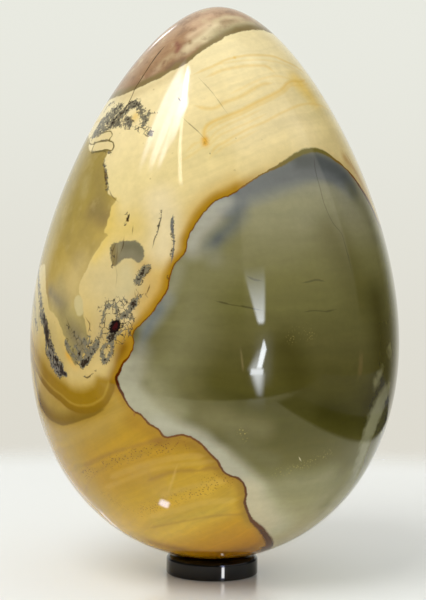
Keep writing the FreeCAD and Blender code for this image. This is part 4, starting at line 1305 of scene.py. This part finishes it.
def jasperMaterial():
    # Polychrome jasper, tumbled to a mirror polish: opaque clay colours in sharp fields and soft layers
    # under one clear gloss, so the eye gets deep colour with crisp reflections and no sparkle.
    material, tree = newMaterial("polished jasper")
    look = jasperLook
    place = addNode(tree, "TexCoord").outputs["Object"]
    source, field, paint, share = {}, {}, {}, {}
    for name, (size, detail, rough) in look["grain"].items():
        source[name] = addNode(tree, "TexNoise", {"Vector": place, "Scale": 1 / (size * metresPerMm),
                                                  "Detail": detail, "Roughness": rough})
    for name in fieldNames:
        read = addNode(tree, "Attribute", attribute_name=name)
        parts = addNode(tree, "SeparateXYZ", [read.outputs["Vector"]])
        field[name] = (*parts.outputs, read.outputs["Alpha"])
        paint[name] = read.outputs["Color"]

    # masks: the distance moved by grain, then a soft step
    for name, (layer, column, grain, amount, soft, shift) in look["masks"].items():
        moved = addNode(tree, "Math MULTIPLY_ADD", [source[grain], amount, field[layer][column]])
        share[name] = addNode(tree, "MapRange SMOOTHSTEP",
                              [moved, amount / 2 + shift - soft, amount / 2 + shift + soft])

    # the layers: noise squeezed across them and stretched along them
    flat = addNode(tree, "SeparateXYZ", [place])
    tilted = addNode(tree, "VectorMath DOT_PRODUCT", [place, jasperPattern["tilt"]])
    upward = {"tilted": tilted.outputs["Value"], "level": flat.outputs["Z"]}
    for name, (way, bend, along, across, detail) in look["sheets"].items():
        bent = addNode(tree, "Math MULTIPLY_ADD", [source["smoke"], bend, upward[way]])
        at = addNode(tree, "CombineXYZ", [flat.outputs["X"], flat.outputs["Y"], bent])
        rates = [1 / (size * metresPerMm) for size in (along, along, across)]
        at = addNode(tree, "VectorMath MULTIPLY", [at, rates])
        source[name] = addNode(tree, "TexNoise", {"Vector": at, "Scale": 1.0, "Detail": detail,
                                                  "Roughness": look["sheetRoughness"]})
    for name, (origin, *limits) in look["shares"].items():
        share[name] = addNode(tree, "MapRange", [source[origin], *limits])
    for name in ("broadLevel", "fineLevel"):
        share[name] = addNode(tree, "Math MULTIPLY_ADD", [share[name], field["hostPaint"][3], 1.0])

    # mineral growths: their density thresholded by grain, grey where thin and black where thick,
    # with a net of hairlines round it
    density = field["ink"][0]
    for grain, amount in look["growthStir"].items():
        density = addNode(tree, "Math MULTIPLY_ADD", [source[grain], amount, density])
    for name, limits in look["growthShades"].items():
        share[name] = addNode(tree, "MapRange SMOOTHSTEP", [density, *limits])
    hair = look["hair"]
    wander = addNode(tree, "TexNoise", {"Vector": place, "Scale": 1 / (hair["bendSize"] * metresPerMm),
                                        "Detail": hair["bendDetail"]}).outputs["Color"]
    strayed = addNode(tree, "VectorMath MULTIPLY_ADD", [wander, [hair["bend"]] * 3, place])
    cell = addNode(tree, "TexVoronoi DISTANCE_TO_EDGE",
                   {"Vector": strayed, "Scale": 1 / (hair["cell"] * metresPerMm)})
    near = addNode(tree, "Math MULTIPLY_ADD", [source["fleck"], hair["stir"], field["ink"][0]])
    share["hair"] = addNode(tree, "MapRange SMOOTHSTEP", [cell, *hair["edge"]])
    for factor in (addNode(tree, "MapRange", [near, *hair["near"]]),
                   addNode(tree, "Math MULTIPLY_ADD", [share["inkGrey"], -hair["overGrey"], 1.0])):
        share["hair"] = addNode(tree, "Math MULTIPLY", [share["hair"], factor])

    shade = dict(look["shades"])
    for name in ("mushroom", "paleVein", "inkGrey"):
        shade[name] = paint["darkPaint"]

    # banded shells: a ramp from the sharp outer edge inwards
    stir = look["shellStir"]
    stirred = addNode(tree, "Math MULTIPLY_ADD", [source["cloud"], stir, -stir / 2])
    for name, (column, ends, stops) in look["shells"].items():
        inside, left = field["shells"][column:column + 2]
        depth = addNode(tree, "Math MULTIPLY_ADD", [inside, 1 / look["shellDepth"], stirred])
        shade[name] = addNode(tree, "ValToRGB", [depth], stops)
        for factor in (addNode(tree, "MapRange SMOOTHSTEP", [inside, *ends]), left):
            share[name] = addNode(tree, "Math MULTIPLY", [share[name], factor])

    # dark and fine specks: small cells, thinned by a coarser noise
    for name, (size, reach, patchy) in look["specks"].items():
        cell = addNode(tree, "TexVoronoi", {"Vector": place, "Scale": 1 / (size * metresPerMm)})
        dot = addNode(tree, "MapRange SMOOTHSTEP", [cell, reach, reach * look["speckCore"]])
        thin = addNode(tree, "MapRange", [source["cloud"], patchy, patchy + look["speckThinning"]])
        share[name] = addNode(tree, "Math MULTIPLY", [dot, thin])
    share["speck"] = addNode(tree, "Math MULTIPLY", [share["speck"], look["speckLevel"]])
    share["dots"] = addNode(tree, "Math MULTIPLY", [share["dots"], field["domePaint"][3]])
    share["domeDots"] = share["dots"]

    # the line round the dome: olive where it is soft, red brown and black where it is dark, gold outside it
    inside, width, dark, gold = field["domeEdge"]
    glow = addNode(tree, "MapRange SMOOTHSTEP", [inside, *look["glowReach"]])
    share["glow"] = addNode(tree, "Math MULTIPLY", [glow, gold])
    line = look["domeLine"]
    away = addNode(tree, "Math MULTIPLY_ADD", [source["fleck"], line["stir"], inside])
    away = addNode(tree, "Math ABSOLUTE", [addNode(tree, "Math SUBTRACT", [away, line["stir"] / 2])])
    thick = addNode(tree, "Math MULTIPLY_ADD", [width, 0.5, line["soft"]])
    core = addNode(tree, "Math MULTIPLY", [thick, line["core"]])
    share["domeLine"] = addNode(tree, "MapRange SMOOTHSTEP", [away, thick, core])
    shade["domeLine"] = addNode(tree, "ValToRGB", [dark], line["stops"])

    def lay(colour, *names):  # mixes each shade over the colour by its share
        for name in names:
            colour = addNode(tree, "Mix RGBA", {0: share[name], 6: colour, 7: shade[name]}).outputs[2]
        return colour

    def grade(colour, *names):  # brightens or darkens the colour by each share
        for name in names:
            colour = addNode(tree, "VectorMath SCALE", {0: colour, "Scale": share[name]})
        return colour

    def drawLines(colour, kind):  # lines from their own distances, edges wandering with the grain
        soft, stir = look["lineSoft"][kind], look["lineStir"]
        for name in lineSets[kind]:
            across, width, strength, tone = field[name]
            moved = addNode(tree, "Math MULTIPLY_ADD", [source["fleck"], stir, across])
            moved = addNode(tree, "Math ABSOLUTE", [addNode(tree, "Math SUBTRACT", [moved, stir / 2])])
            high = addNode(tree, "Math MULTIPLY_ADD", [width, 0.5, soft])
            low = addNode(tree, "Math SUBTRACT", [high, 2 * soft])
            drawn = addNode(tree, "MapRange", [moved, high, low])
            share[name] = addNode(tree, "Math MULTIPLY", [drawn, strength], use_clamp=True)
            shade[name] = addNode(tree, "ValToRGB", [tone], jasperPattern["tones"].values())
            colour = lay(colour, name)
        return colour

    shade["olive"] = lay(paint["olivePaint"], "smokeDark", "smokePale")
    host = grade(lay(paint["hostPaint"], "glow"), "broadLevel", "fineLevel", "cloudLevel")
    host = lay(host, "rim", "gold", "olive", "lens", "chipEdge", "chip", "mushroom", "brownPatch", "speck")
    host = lay(drawLines(host, "flow"), "dots")
    shade["capBody"] = lay(paint["capPaint"], "capDark", "capPale")
    shade["cap"] = lay(shade["capRim"], "capBody")
    host = lay(host, "cap", "inkGrey", "hair", "inkBlack", "maroon", "maroonHeart")
    shade["dome"] = lay(grade(paint["domePaint"], "domeLevel"), "paleVein", "domeDots")
    colour = drawLines(lay(host, "dome", "domeLine"), "veinsAndReflectedEdge")
    colour = grade(colour, "fleckLevel")
    polish = addNode(tree, "BsdfPrincipled", {"Base Color": colour, "Roughness": look["roughness"],
                                              "IOR": look["ior"], "Specular Tint": look["tint"]})
    addNode(tree, "OutputMaterial", [polish])
    return material


egg.data.materials.append(jasperMaterial())
print("jasper ready")


# The ring.

ringLook = {
    "columns": 192,
    "bore": 6.0,  # mm, its radius
    "rounds": (1.1, 0.5, 0.6, 0.3),  # mm: outer top, outer foot, inner top, inner foot
    "roundSteps": (15, 9, 11, 7),  # points on them
    "flatSteps": 7,
    "shades": ("#050403", "#100e0b"),
    "haze": (2.381, 4.0, 0.6),  # size in mm, detail and roughness of the noise
    "hazeRange": (0.35, 0.7),
    "ior": 1.5,
    "roughness": (0.05, 0.12),
}


def cornerArc(x, z, radius, start, count):
    # points on a quarter circle of the radius round x, z, from the start angle in degrees
    angle = np.radians(np.linspace(start, start + 90, count))
    return np.stack([x + radius * np.cos(angle), z + radius * np.sin(angle)], -1)


def ringMesh():
    # a section of four rounded corners joined by straights, turned about the upright axis
    low, high = (np.array(c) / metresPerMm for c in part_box("ring_stand"))
    outer, top = (high[0] - low[0]) / 2, high[2]
    shoulder, foot, lip, boreFoot = ringLook["rounds"]
    bore, steps = ringLook["bore"], ringLook["roundSteps"]
    corners = [
        cornerArc(outer - foot, foot, foot, -90, steps[1]),
        cornerArc(outer - shoulder, top - shoulder, shoulder, 0, steps[0]),
        cornerArc(bore + lip, top - lip, lip, 90, steps[2]),
        cornerArc(bore + boreFoot, boreFoot, boreFoot, 180, steps[3]),
    ]
    flatSteps = np.linspace(0, 1, ringLook["flatSteps"])[1:-1]
    section = []
    for here, following in zip(corners, corners[1:] + corners[:1]):
        section.append(here)
        section.append(here[-1] + flatSteps[:, None] * (following[0] - here[-1]))
    radius, height = np.vstack(section).T
    columns, rows = ringLook["columns"], len(radius)
    turn = np.linspace(0, 2 * np.pi, columns, endpoint=False)
    points = np.stack([np.outer(np.cos(turn), radius), np.outer(np.sin(turn), radius),
                       np.tile(height, (columns, 1))], -1).reshape(-1, 3)
    quads = gridFaces(columns, rows, wrapRows=True, wrapColumns=True)[:, [0, 3, 2, 1]]
    return newObject("hematiteRing", points * metresPerMm, [quads])


def hematiteMaterial():
    # Hematite, turned and buffed: near black, so the eye gets little but the reflections, with a grey haze
    # where the turned surface is less perfect.
    material, tree = newMaterial("polished hematite")
    size, detail, rough = ringLook["haze"]
    place = addNode(tree, "TexCoord").outputs["Object"]
    haze = addNode(tree, "TexNoise", {"Vector": place, "Scale": 1 / (size * metresPerMm),
                                      "Detail": detail, "Roughness": rough})
    dark, light = ringLook["shades"]
    shade = addNode(tree, "Mix RGBA", {0: haze, 6: dark, 7: light}).outputs[2]
    rough = addNode(tree, "MapRange", [haze, *ringLook["hazeRange"], *ringLook["roughness"]])
    polish = addNode(tree, "BsdfPrincipled", {"Base Color": shade, "Roughness": rough,
                                              "IOR": ringLook["ior"]})
    addNode(tree, "OutputMaterial", [polish])
    return material


ring = ringMesh()
ring.data.materials.append(hematiteMaterial())
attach(ring, "stand")
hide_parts("ring_stand")
print("ring made,", len(ring.data.polygons), "faces")
